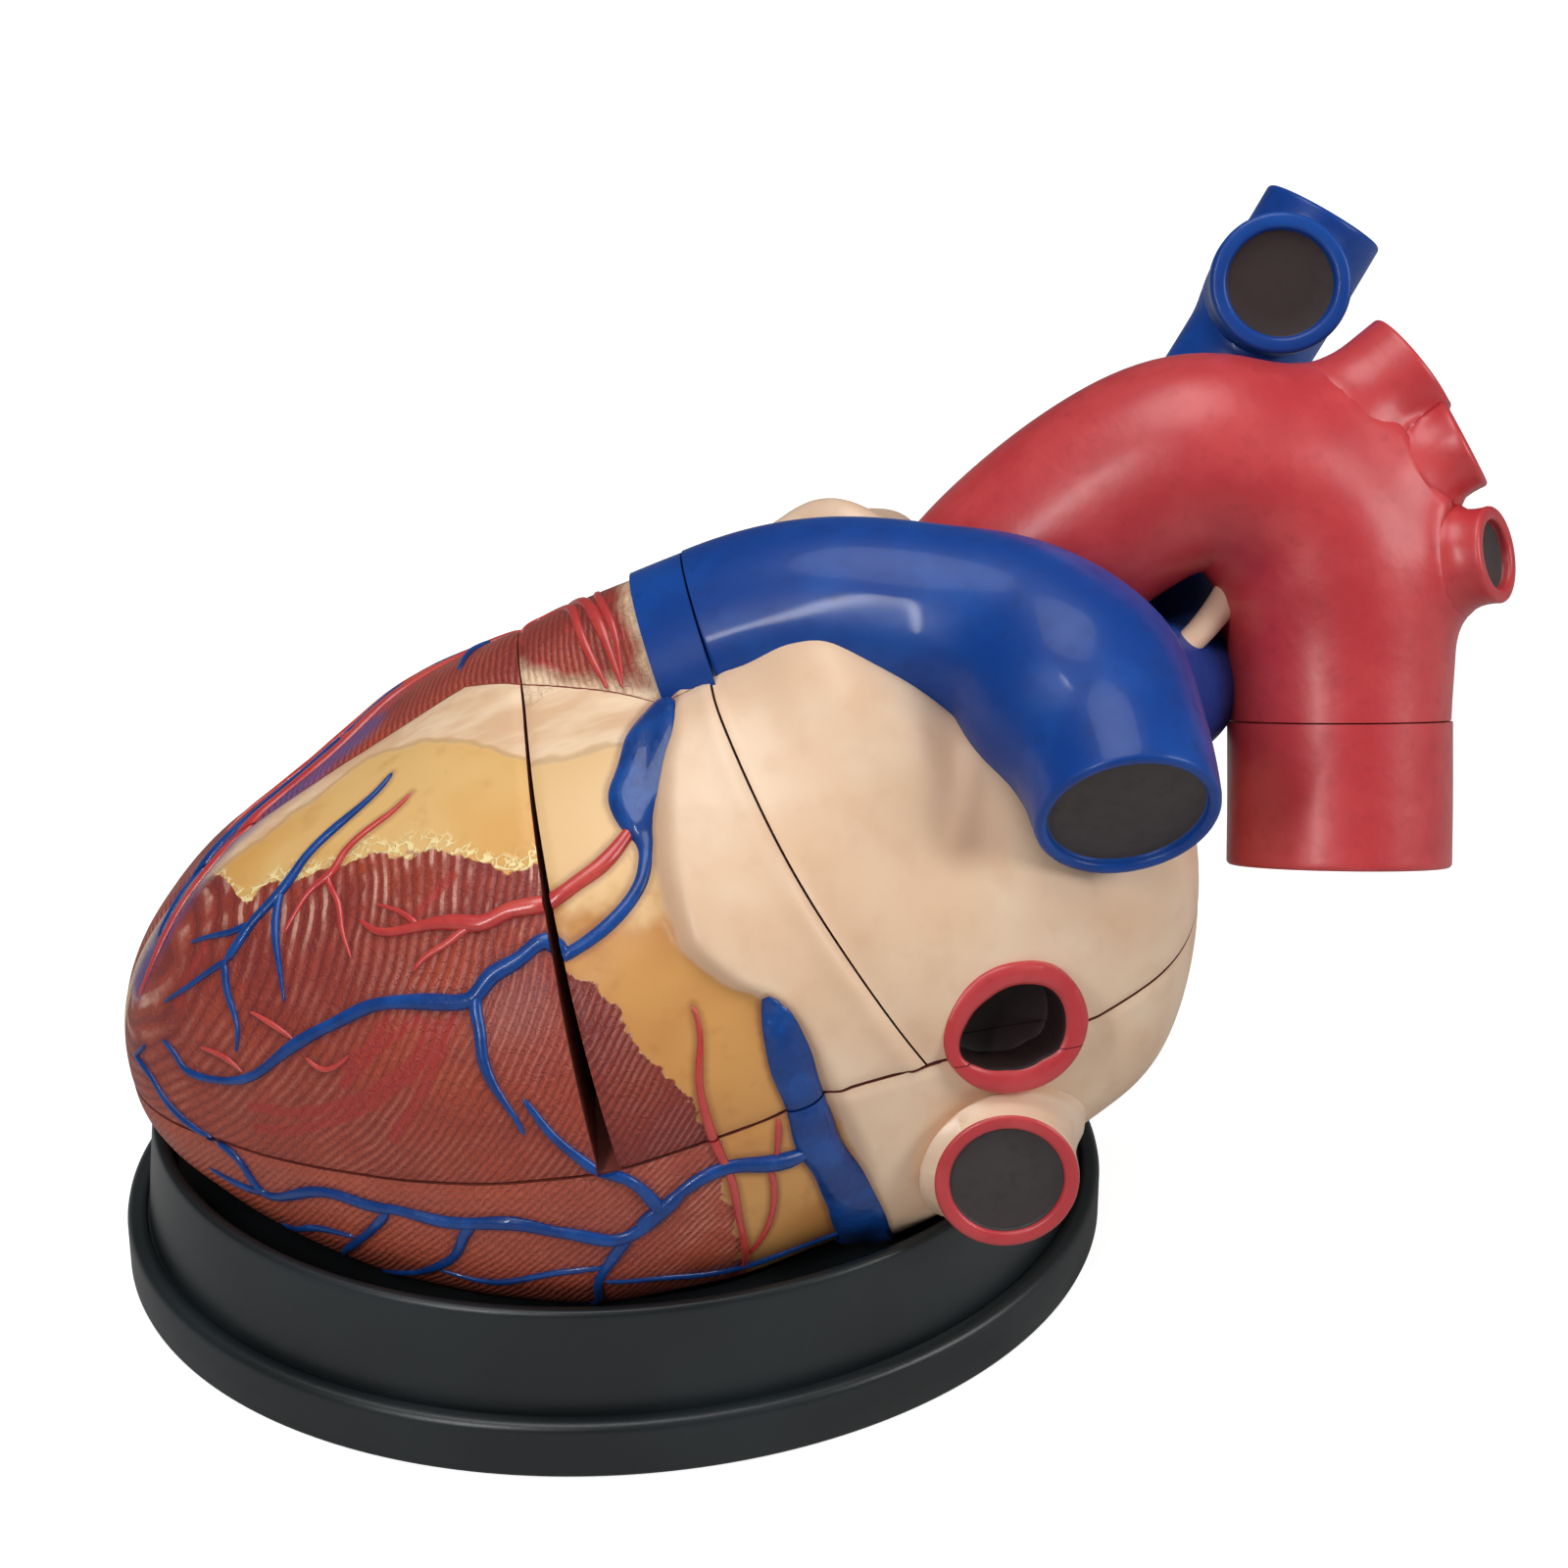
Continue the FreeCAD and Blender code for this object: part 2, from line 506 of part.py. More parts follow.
for y, z in [(46, 112), (34, 138)]:
    spot = Vector(vesselFaceX(y, z), y, z)
    pegs.append(peg(spot, vesselWay, pegRadius, 8, pegLength))
    conusBlock = conusBlock.cut(pegs[-1])
    atriaRoof = atriaRoof.cut(peg(spot, vesselWay, pegRadius + socketClearance, 8, pegLength + 1.5))

magnetRadius, magnetDepth = 3.2, 3.0
partingNormal = Vector(-52.0, 0, 260.0).normalize()


def magnetPair(point, normal, gapFixed, gapLoose):
    # One disc sunk in the fixed face, one in the loose face, across the gap between them.
    fixed = Part.makeCylinder(magnetRadius, magnetDepth, point - normal * (magnetDepth + gapFixed), normal)
    loose = Part.makeCylinder(magnetRadius, magnetDepth, point + normal * gapLoose, normal)
    return fixed, loose


def seat(point, normal, depth):
    return Part.makeCylinder(magnetRadius, depth * 2, point - normal * depth, normal)


fixedMagnets = []
looseMagnets = {}
spot = Vector(-68, -68.5, partingHeight(-68))
fixed, loose = magnetPair(spot, partingNormal, 0.2, 0.6)
fixedMagnets.append(fixed)
looseMagnets["left_wall_magnet"] = loose
backShell = backShell.cut(seat(spot, partingNormal, 3.2))
leftWall = leftWall.cut(seat(spot, partingNormal, 3.6))
spot = Vector(-68, 59, partingHeight(-68))
fixed, loose = magnetPair(spot, partingNormal, 0.2, 0.6)
fixedMagnets.append(fixed)
looseMagnets["right_wall_magnet"] = loose
backShell = backShell.cut(seat(spot, partingNormal, 3.2))
rightWall = rightWall.cut(seat(spot, partingNormal, 3.6))
frontWay = Vector(0.1686, -0.9857, 0).normalize()
spot = Vector(22, splitDepth(22), 140)
fixed, loose = magnetPair(spot, frontWay, 0.4, 0.6)
fixedMagnets.append(fixed)
looseMagnets["base_wall_magnet"] = loose
conusBlock = conusBlock.cut(seat(spot, frontWay, 3.4))
baseWall = baseWall.cut(seat(spot, frontWay, 3.6))
vesselUnit = Vector(vesselSideNormal).normalize()
spot = Vector(vesselFaceX(60, 112), 60, 112)
fixed, loose = magnetPair(spot, vesselUnit, 0.4, 0.6)
fixedMagnets.append(fixed)
looseMagnets["atria_roof_magnet"] = loose
conusBlock = conusBlock.cut(seat(spot, vesselUnit, 3.4))
atriaRoof = atriaRoof.cut(seat(spot, vesselUnit, 3.6))

# ---- hand the pieces over -----------------------------------------------------------------------
export("stand_body", biggest(standBody))
export("stand_bottom_plate", biggest(bottomPlate))
export("stand_screws", Part.makeCompound(plateScrews))
export("rubber_feet", Part.makeCompound(rubberFeet))
export("heart_cradle", biggest(cradle))
export("heart_screws", Part.makeCompound(heartScrews))
export("heart_back_shell", biggest(backShell))
export("ventricular_septum", biggest(septum))
export("conus_block", biggest(conusBlock))
export("pulmonary_root_ring", biggest(rootRing))
export("mitral_valve", biggest(mitralValve))
export("tricuspid_valve", biggest(tricuspidValve))
export("pulmonary_valve", biggest(pulmonaryValve))
export("aortic_valve", biggest(aorticValve))
export("left_papillary_muscles", Part.makeCompound(leftPapillary))
export("right_papillary_muscles", Part.makeCompound(rightPapillary))
export("chordae_tendineae", Part.makeCompound(chordae))
export("upper_left_vein_base", upperVeinBase)
export("lower_left_vein", biggest(lowerVein))
export("right_pulmonary_veins", Part.makeCompound(rightVeins))
export("inferior_vena_cava", lowerCava)
export("locating_pegs", Part.makeCompound(pegs))
export("fixed_magnets", Part.makeCompound(fixedMagnets))
export("left_ventricle_wall", biggest(leftWall))
export("right_ventricle_wall", biggest(rightWall))
export("left_base_wall", biggest(baseWall))
export("atria_roof", biggest(atriaRoof))
export("right_auricle", rightAuricle)
export("pulmonary_trunk", biggest(pulmonaryTrunk))
export("right_pulmonary_artery", rightArtery)
export("aortic_arch", aorticArch)
export("descending_aorta_collar", biggest(collar))
export("superior_vena_cava", superiorCava)
export("left_brachiocephalic_vein", cavaStub)
export("upper_left_vein_cap", upperVeinCap)
export("ligamentum_arteriosum", ligament)
for name, piece in branchPieces.items():
    export(name, piece)
for name, piece in looseMagnets.items():
    export(name, piece)
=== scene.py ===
# An enlarged teaching heart that comes apart, lying on its oval stand.
# Tables are in millimetres, meshes in metres.  +X runs from the apex to the great
# vessels, -Y is the heart's left side, +Z is up.
import bpy
import bmesh
import math
import time
import numpy as np
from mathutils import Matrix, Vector


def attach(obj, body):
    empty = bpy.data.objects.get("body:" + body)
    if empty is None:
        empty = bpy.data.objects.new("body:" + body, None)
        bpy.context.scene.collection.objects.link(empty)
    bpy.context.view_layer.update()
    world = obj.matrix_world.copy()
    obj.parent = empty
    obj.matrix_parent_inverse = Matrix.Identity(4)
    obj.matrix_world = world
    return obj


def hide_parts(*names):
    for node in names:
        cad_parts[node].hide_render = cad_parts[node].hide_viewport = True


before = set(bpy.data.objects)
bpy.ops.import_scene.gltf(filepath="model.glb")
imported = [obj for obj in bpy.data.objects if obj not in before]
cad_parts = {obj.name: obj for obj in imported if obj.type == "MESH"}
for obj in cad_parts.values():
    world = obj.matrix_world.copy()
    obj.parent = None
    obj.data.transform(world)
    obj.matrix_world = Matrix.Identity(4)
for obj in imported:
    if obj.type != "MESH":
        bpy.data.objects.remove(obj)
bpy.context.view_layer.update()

startTime = time.time()
mm = 0.001
rootBody = "stand_and_back_heart"


def report(stage):
    print("heart:", stage, round(time.time() - startTime, 1), "s", flush=True)


# Curves that the tables and the vessels' lines are read through.

def monotoneCurve(knots, values):
    # Cubic pieces through the table that never overshoot it.
    knots, values = np.asarray(knots, float), np.asarray(values, float)
    step = np.diff(knots)
    rise = np.diff(values) / step
    slope = np.zeros_like(values)
    slope[0], slope[-1] = rise[0], rise[-1]
    before, after = 2 * step[1:] + step[:-1], step[1:] + 2 * step[:-1]
    same = rise[:-1] * rise[1:] > 0
    safe = np.where(same, rise[:-1] * rise[1:], 1.0)
    slope[1:-1] = np.where(same, (before + after) * safe / np.where(
        same, before * rise[1:] + after * rise[:-1], 1.0), 0.0)

    def evaluate(x):
        x = np.clip(x, knots[0], knots[-1])
        cell = np.clip(np.searchsorted(knots, x) - 1, 0, len(knots) - 2)
        wide = step[cell]
        t = (x - knots[cell]) / wide
        return ((2 * t ** 3 - 3 * t ** 2 + 1) * values[cell] + (t ** 3 - 2 * t ** 2 + t) * wide * slope[cell]
                + (3 * t ** 2 - 2 * t ** 3) * values[cell + 1] + (t ** 3 - t ** 2) * wide * slope[cell + 1])
    return evaluate


def smoothPath(points, spacing):
    # Natural cubic spline through the points, sampled about every spacing millimetres.
    # Returns the samples and each one's place between the given points (0 .. count - 1).
    points = np.asarray(points, float)
    count = len(points)
    chord = np.r_[0, np.cumsum(np.linalg.norm(np.diff(points, axis=0), axis=1))]
    samples = np.linspace(0, chord[-1], max(int(chord[-1] / spacing), 2) + 1)
    cell = np.clip(np.searchsorted(chord, samples) - 1, 0, count - 2)
    gap = np.diff(chord)
    matrix, target = np.eye(count), np.zeros((count, points.shape[1]))
    for index in range(1, count - 1):
        matrix[index, index - 1:index + 2] = gap[index - 1], 2 * (gap[index - 1] + gap[index]), gap[index]
        target[index] = 6 * ((points[index + 1] - points[index]) / gap[index]
                             - (points[index] - points[index - 1]) / gap[index - 1])
    bend = np.linalg.solve(matrix, target)
    wide = gap[cell][:, None]
    left, right = (chord[cell + 1] - samples)[:, None], (samples - chord[cell])[:, None]
    path = (bend[cell] * left ** 3 + bend[cell + 1] * right ** 3) / (6 * wide) \
        + (points[cell] / wide - bend[cell] * wide / 6) * left \
        + (points[cell + 1] / wide - bend[cell + 1] * wide / 6) * right
    return path, cell + (samples - chord[cell]) / gap[cell]


def unit(vectors):
    # Vectors brought to length one.
    return vectors / np.maximum(np.linalg.norm(vectors, axis=-1, keepdims=True), 1e-12)


def carriedFrames(path):
    # Two directions square to the path at each sample, turned as little as possible.
    along = unit(np.gradient(path, axis=0))
    sides = np.zeros_like(path)
    side = np.array((0.1, 0.6, 0.8))
    for index, way in enumerate(along):
        side = side - way * (side @ way)
        side /= np.linalg.norm(side)
        sides[index] = side
    return along, sides, np.cross(along, sides)


# Meshes: grids made into objects, cut and joined.

def gridFaces(rows, columns):
    # Quads of a grid whose columns close round on themselves.
    row, column = np.meshgrid(np.arange(rows - 1), np.arange(columns), indexing="ij")
    nextColumn = (column + 1) % columns
    return np.stack([row * columns + column, row * columns + nextColumn,
                     (row + 1) * columns + nextColumn, (row + 1) * columns + column], -1).reshape(-1, 4)


def meshFrom(name, points, faces, materials=(), faceMaterial=None):
    # Points in millimetres.  Poles given as rings of equal points are merged to one,
    # and the shell is turned so that its faces point outwards.
    points, faces = np.asarray(points, float).reshape(-1, 3), np.asarray(faces)
    a, b, c, d = (points[faces[:, k]] for k in (0, 1, 2, -1))
    volume = np.einsum("ij,ij->", a, np.cross(b, c)) + np.einsum("ij,ij->", a, np.cross(c, d))
    if volume < 0:
        faces = faces[:, ::-1]
    mesh = bpy.data.meshes.new(name)
    sides = faces.shape[1]
    mesh.vertices.add(len(points))
    mesh.vertices.foreach_set("co", (points * mm).astype(np.float32).ravel())
    mesh.loops.add(faces.size)
    mesh.loops.foreach_set("vertex_index", faces.astype(np.int32).ravel())
    mesh.polygons.add(len(faces))
    mesh.polygons.foreach_set("loop_start", np.arange(0, faces.size, sides, dtype=np.int32))
    mesh.polygons.foreach_set("use_smooth", np.ones(len(faces), bool))
    for material in materials:
        mesh.materials.append(material)
    if faceMaterial is not None:
        mesh.polygons.foreach_set("material_index", np.asarray(faceMaterial, np.int32))
    mesh.update(calc_edges=True)
    work = bmesh.new()
    work.from_mesh(mesh)
    bmesh.ops.remove_doubles(work, verts=work.verts, dist=2e-6)
    bmesh.ops.dissolve_degenerate(work, edges=work.edges, dist=1e-7)
    work.to_mesh(mesh)
    work.free()
    return mesh


def turnOutwards(mesh):
    # Faces of a closed mesh turned so that they point outwards.
    work = bmesh.new()
    work.from_mesh(mesh)
    bmesh.ops.recalc_face_normals(work, faces=work.faces)
    work.to_mesh(mesh)
    work.free()


def pieceFrom(name, mesh):
    # An object of its own for the mesh.
    mesh.name = name
    piece = bpy.data.objects.new(name, mesh)
    bpy.context.scene.collection.objects.link(piece)
    return piece


def carve(piece, tool, way):
    # One boolean, applied at once.  way is DIFFERENCE, INTERSECT or UNION.
    modifier = piece.modifiers.new("cut", "BOOLEAN")
    modifier.operation, modifier.solver, modifier.object = way, "MANIFOLD", tool
    depsgraph = bpy.context.evaluated_depsgraph_get()
    result = bpy.data.meshes.new_from_object(piece.evaluated_get(depsgraph), depsgraph=depsgraph)
    piece.modifiers.clear()
    old, piece.data = piece.data, result
    bpy.data.meshes.remove(old)
    discard(tool)


def discard(piece):
    mesh = piece.data
    bpy.data.objects.remove(piece)
    bpy.data.meshes.remove(mesh)


def copyOf(piece, name):
    return pieceFrom(name, piece.data.copy())


def sharpen(piece, degrees=38):
    # Smooth shading, with sharp edges where faces meet at more than the angle.
    piece.data.polygons.foreach_set("use_smooth", np.ones(len(piece.data.polygons), bool))
    piece.data.set_sharp_from_angle(angle=math.radians(degrees))


def verticesOf(piece):
    # The vertices in millimetres.
    points = np.zeros(len(piece.data.vertices) * 3, np.float32)
    piece.data.vertices.foreach_get("co", points)
    return points.reshape(-1, 3).astype(float) / mm


def paintValue(piece, name, values):
    # One value for each vertex, read by the paints.
    layer = piece.data.attributes.new(name, "FLOAT", "POINT")
    layer.data.foreach_set("value", np.asarray(values, np.float32))


# The heart's skin: one closed surface over x, from apex to base, and the angle round it.

heartShape = {
    "meridianSpacing": 1.25,
    "columns": 432,
    "topPower": 2.1, "bottomPower": 2.6,
    # x, centre y, centre z, half sizes front, back, top, bottom
    "stations": [
        (-124.0, 0, 72, 0, 0, 0, 0), (-122.0, 0, 72, 14, 13, 14, 14), (-116.0, 0, 73, 27, 26, 26, 25),
        (-107.0, 0, 75, 39, 36, 36, 35), (-94.0, -1, 78, 53, 49, 46, 46), (-80.0, -1, 80, 66, 59, 54, 54),
        (-62.0, -2, 82, 79, 70, 63, 62), (-40.0, -3, 84, 90, 81, 72, 68), (-12.0, -3, 86, 97, 88, 79, 72),
        (15.0, -3, 88, 96, 91, 83, 74), (40.0, -4, 90, 88, 88, 82, 72), (65.0, -6, 94, 81, 81, 74, 68),
        (90.0, -10, 98, 72.5, 74, 66, 62), (110.0, -13, 101, 63, 66, 57, 56.5),
        (127.0, -16, 103, 50, 54, 46, 48.5), (139.0, -18, 105, 31, 34, 30, 30),
        (145.0, -18, 106, 0, 0, 0, 0)],
    "conusPath": [(-38, 12, 121), (-18, 12, 138), (0, 9.5, 150.5), (19, 3, 163), (36, -3, 172.5)],
    "conusRadii": [24, 25.5, 25, 24, 23.5],
    "conusDraw": 8.0,           # how softly the outflow swelling runs into the heart
    "lumpHeight": 0.45,
    "seamPinch": 0.8, "seamWidth": 1.5, "lip": 0.9,
    "auricleStep": 1.9, "auricleEdge": 4.0,
    # the swollen left auricle in front of the trunk: x, degrees of its crest, height
    "auricleBulge": [(16, 101, 0), (28, 102, 2.5), (40, 104, 9), (50, 107, 12), (60, 111, 11), (70, 116, 9.5),
                     (80, 122, 9), (90, 128, 6), (106, 134, 0)],
    "bulgeWidths": (13.0, 27.0),
    # swellings and dips: height, then x and degrees of the middle, each with its spread
    "swells": [(-2.2, 13, 13, 103, 6), (3.5, 66, 26, 213, 16), (-3.2, -73, 22, 54, 30)],
    # depth or height and width of the three lines below
    "groove": (1.6, 6.0), "fold": (3.6, 8.5), "ridge": (0.9, 3.4),
}

cuts = {
    "apexNormal": (0.96, -0.16, 0.25), "apexOffset": 20.76,
    "taperNormal": (0.96, -0.16, 0.191), "taperOffset": 10.73,
    "vesselNormal": (0.84, -0.12, 0.54), "vesselOffset": 113.2,
    "rootNormal": (0.93, -0.12, 0.30), "rootOffsets": (61.5, 75.2),
    "gap": 0.22, "partingGap": 1.0,
    "partingLine": [(-220, 43.5), (40, 95.5), (105, 97.4), (260, 131)],
    "splitLine": [(-220, 8), (-34, 8), (-20, -3), (14, -25), (90, -12), (260, -12)],
}

# Edges of the paint, read along the heart (x, degrees round it) or round it (degrees, x).
# 0 degrees is the back, 90 the top, 180 the front.
paint = {
    "creamEdge": [(0, 34), (30, 34), (60, 36), (80, 34), (95, 20), (105, 10), (114, 6), (123, 2), (137, -1),
                  (148, 1), (156, 11), (159, 19), (162, 24), (175, 33), (196, 44), (215, 50), (240, 48),
                  (270, 45), (300, 40), (330, 35), (360, 34)],
    "fatEdge": [(0, 14), (30, 10), (60, 12), (80, 8), (96, -20), (108, -44), (140, -44), (148, -29),
                (152, -20), (156, -15), (160, -13), (164, -8), (168, -4), (173, 2), (177, 6), (182, 8),
                (186, 9), (206, 14), (230, 20), (270, 18), (300, 14), (330, 12), (360, 14)],
    "basePeachEdge": [(-60, 111), (-25, 111), (-10, 112), (10, 112), (60, 112)],
    "leftFatLow": [(-124, 86), (-104, 88), (-97, 96), (-95, 110), (-92, 115), (-87, 115), (-78, 117),
                   (-70, 120), (-64, 118), (-58, 122), (-53, 122), (-43, 127), (-34, 132), (-28, 131),
                   (-10, 133)],
    "leftPeachEdge": [(-124, 90), (-93, 92), (-83, 92), (-72, 90), (-61, 87), (-50, 91), (-37, 99),
                      (-24, 109), (-10, 112)],
    "rightFatEdge": [(-124, 92), (-60, 90), (-30, 100), (40, 110)],
}

stations = np.array(heartShape["stations"], float)
centreY = monotoneCurve(stations[:, 0], stations[:, 1])
centreZ = monotoneCurve(stations[:, 0], stations[:, 2])
halfSquares = [monotoneCurve(stations[:, 0], stations[:, column] ** 2) for column in (3, 4, 5, 6)]


def plainRadius(x, angle):
    # Four-part superellipse about the centre line, each quarter with its own half sizes.
    front, back, top, bottom = [np.sqrt(np.maximum(square(x), 1e-6)) for square in halfSquares]
    across, upward = np.cos(angle), np.sin(angle)
    side, height = np.where(across < 0, front, back), np.where(upward > 0, top, bottom)
    power = np.where(upward > 0, heartShape["topPower"], heartShape["bottomPower"])
    return (np.abs(across / side) ** power + np.abs(upward / height) ** power) ** (-1 / power)


def chart(points):
    # x, angle round the centre line and distance from it.
    y, z = points[..., 1] - centreY(points[..., 0]), points[..., 2] - centreZ(points[..., 0])
    return points[..., 0], np.arctan2(z, y) % (2 * np.pi), np.hypot(y, z)


def heartField(points):
    # Roughly the distance outside the plain heart.
    x, angle, reach = chart(points)
    inside = np.clip(x, stations[0, 0], stations[-1, 0])
    return (reach - plainRadius(inside, angle)) * 0.92 + np.abs(x - inside)


def tubeField(points, path, radii):
    # Distance outside a round tube: nearest stretch of its line, less the radius there.
    best = np.full(points.shape[:-1], 1e9)
    for start, end, radiusOne, radiusTwo in zip(path[:-1], path[1:], radii[:-1], radii[1:]):
        along = end - start
        share = np.clip((points - start) @ along / (along @ along), 0, 1)
        gap = np.linalg.norm(points - start - share[..., None] * along, axis=-1)
        best = np.minimum(best, gap - radiusOne - (radiusTwo - radiusOne) * share)
    return best


def lineDistance(points, line):
    # Distance from a bent line.
    return tubeField(points, np.asarray(line, float), np.zeros(len(line)))


def drawnTogether(one, other, width):
    # Smooth minimum of two distances.
    overlap = np.maximum(width - np.abs(one - other), 0) / width
    return np.minimum(one, other) - overlap ** 2 * width / 4


def planeDistance(points, normal, offset):
    # Distance over the plane where normal . point equals the offset.
    normal = np.array(normal, float)
    return (points @ normal - offset) / np.linalg.norm(normal)


def partingHeight(x):
    # Height of the parting line at x.
    line = np.array(cuts["partingLine"], float)
    return np.interp(x, line[:, 0], line[:, 1])


def splitDepth(x):
    # y of the cut between the front and the back castings at x.
    line = np.array(cuts["splitLine"], float)
    return np.interp(x, line[:, 0], line[:, 1])


def smoothStep(low, high, value):
    # 0 below low, 1 above high, and 3 t^2 - 2 t^3 between.
    share = np.clip((value - low) / (high - low), 0, 1)
    return share * share * (3 - 2 * share)


def lumps(points, size, seed):
    # Soft unevenness between -1 and 1: a few waves in scattered directions.
    chance = np.random.default_rng(seed)
    total = np.zeros(points.shape[:-1])
    for _ in range(9):
        way = chance.normal(size=3)
        way *= 2 * np.pi / (size * chance.uniform(0.8, 1.8)) / np.linalg.norm(way)
        total += np.sin(points @ way + chance.uniform(0, 2 * np.pi))
    return total / 5


creamX = monotoneCurve(*np.array(paint["creamEdge"], float).T)
fatX = monotoneCurve(*np.array(paint["fatEdge"], float).T)


def creamDistance(x, angle):
    # Distance over the edge of the cream area, along the heart.
    return (x - creamX(np.degrees(angle))) * 0.8


conusLine, conusPlace = smoothPath(heartShape["conusPath"], 3.0)
conusWidths = np.interp(conusPlace, range(5), heartShape["conusRadii"])
grooveLine = [(7, 110), (1, 118), (-3, 125), (-3, 130), (-3, 136), (-5, 140), (-10, 143), (-16, 145),
              (-22, 147)]
foldLine = [(76, 119), (75.5, 126), (75, 134), (74, 140)]
ridgeLine = [(78.6, 126.7), (76.2, 131.7), (74.1, 136.4), (72.1, 140.4)]


def plainPoint(x, degrees):
    # Point of the plain heart at x and degrees.
    x, angle = np.asarray(x, float), np.radians(np.asarray(degrees, float))
    reach = plainRadius(x, angle)
    return np.stack([x, centreY(x) + reach * np.cos(angle), centreZ(x) + reach * np.sin(angle)], -1)


def relief(x, angle, points):
    # Height in millimetres added to the plain heart: soft lumps, the step at the edge of the
    # auricles, furrows and swellings, and a pinch along every seam.
    degrees = np.degrees(angle)
    height = heartShape["lumpHeight"] * lumps(points, 34, 3)
    cream = creamDistance(x, angle)
    edge = heartShape["auricleEdge"]
    height += heartShape["auricleStep"] * (2 * smoothStep(-edge / 3, edge, cream) - 1) \
        * smoothStep(0, 26, np.abs(x - stations[-1, 0])) * smoothStep(-60, -10, cream)
    groove, fold, ridge = [
        size * np.exp(-(lineDistance(points, plainPoint(*np.array(line, float).T)) / width) ** 2)
        for line, (size, width) in ((grooveLine, heartShape["groove"]), (foldLine, heartShape["fold"]),
                                    (ridgeLine, heartShape["ridge"]))]
    height += ridge - groove - fold * (1 - 0.8 * smoothStep(124, 146, degrees))
    crest = np.array(heartShape["auricleBulge"], float)
    arc = np.radians(degrees - monotoneCurve(crest[:, 0], crest[:, 1])(x)) * plainRadius(x, angle)
    width = np.where(arc < 0, *heartShape["bulgeWidths"])
    height += monotoneCurve(crest[:, 0], crest[:, 2])(x) * np.exp(-(arc / width) ** 2)
    for swell, midX, spreadX, midTurn, spreadTurn in heartShape["swells"]:
        height += swell * np.exp(-((x - midX) / spreadX) ** 2 - ((degrees - midTurn) / spreadTurn) ** 2)
    upper = points[..., 2] > partingHeight(x)
    front = points[..., 1] < splitDepth(x)
    behind = planeDistance(points, cuts["vesselNormal"], cuts["vesselOffset"])
    far = 99
    seams = [np.abs(points[..., 2] - partingHeight(x)) * 0.98,
             np.where(upper, np.abs(planeDistance(points, cuts["apexNormal"], cuts["apexOffset"])), far),
             np.where(upper, np.abs(behind), far),
             np.where(upper & (behind < 0), np.abs(points[..., 1] - splitDepth(x)) * 0.9, far)]
    pinch = np.minimum.reduce(seams)
    # the base wall's edge stands up as a rounded lip beside the great vessels' block
    lip = np.exp(-((behind + 3.2) / 2.6) ** 2) - 0.5 * np.exp(-((behind - 2.4) / 2.2) ** 2)
    height += np.where(upper & front, heartShape["lip"] * lip, 0) * smoothStep(0, 6, cream)
    return height - heartShape["seamPinch"] * np.exp(-(pinch / heartShape["seamWidth"]) ** 2)


def heartGrid():
    # Rows at equal steps along the outline from apex to base, columns round the centre line.
    turn = np.linspace(0, np.pi, 4000)
    x = 10.5 - 134.5 * np.cos(turn)
    run = np.r_[0, np.cumsum(np.hypot(np.diff(x), np.diff(plainRadius(x, np.pi / 2))))]
    rows = int(run[-1] / heartShape["meridianSpacing"])
    x = np.interp(np.linspace(0, run[-1], rows + 1), run, x)
    angle = np.arange(heartShape["columns"]) * 2 * np.pi / heartShape["columns"]
    x, angle = np.meshgrid(x, angle, indexing="ij")
    reach = plainRadius(x, angle)
    reach[0] = reach[-1] = 0

    def at(reach):
        return np.stack([x, centreY(x) + reach * np.cos(angle), centreZ(x) + reach * np.sin(angle)], -1)

    # the outflow swelling: outermost place where the drawn-together shapes end
    near = (x > -75) & (x < 60) & (angle > 0.5) & (angle < 2.6)
    xNear, angleNear, reachNear = x[near], angle[near], reach[near]
    outer = reachNear.copy()
    for lift in np.arange(0, 40, 0.5):
        spot = np.stack([xNear, centreY(xNear) + (reachNear + lift) * np.cos(angleNear),
                         centreZ(xNear) + (reachNear + lift) * np.sin(angleNear)], -1)
        swelling = np.maximum(tubeField(spot, conusLine, conusWidths),
                              planeDistance(spot, cuts["rootNormal"], cuts["rootOffsets"][0] + 1))
        both = drawnTogether(heartField(spot), swelling, heartShape["conusDraw"])
        outer = np.where(both < 0, reachNear + lift + np.clip(-both, 0, 0.5), outer)
    reach[near] = outer
    points = at(reach)
    return x, at(reach + np.where(reach > 0, relief(x, angle, points), 0) * smoothStep(0, 12, reach))


gridX, skinPoints = heartGrid()
acrossRows = np.gradient(skinPoints, axis=0)
acrossColumns = (np.roll(skinPoints, -1, 1) - np.roll(skinPoints, 1, 1)) / 2
skinNormals = unit(np.cross(acrossColumns, acrossRows))
skinNormals *= np.sign(np.einsum("ijk,ijk->ij", skinNormals, skinPoints - np.array([10, 0, 90.0])))[..., None]
report("heart skin worked out")


def onSkin(x, angle):
    # Point and outward direction of the finished skin at x and angle.
    rows = gridX[:, 0]
    row = np.clip(np.searchsorted(rows, x) - 1, 0, len(rows) - 2)
    down = np.clip((x - rows[row]) / (rows[row + 1] - rows[row]), 0, 1)[..., None]
    place = (angle % (2 * np.pi)) / (2 * np.pi) * gridX.shape[1]
    column = np.floor(place).astype(int) % gridX.shape[1]
    over = (place - np.floor(place))[..., None]
    other = (column + 1) % gridX.shape[1]

    def blend(table):
        return (table[row, column] * (1 - down) + table[row + 1, column] * down) * (1 - over) \
            + (table[row, other] * (1 - down) + table[row + 1, other] * down) * over
    return blend(skinPoints), unit(blend(skinNormals))


# Tools that cut the castings.
# Faces carry a mark: 0 painted skin, 1 cut face, 2 left lining, 3 right lining.

markSlots = [bpy.data.materials.new("mark" + str(index)) for index in range(4)]


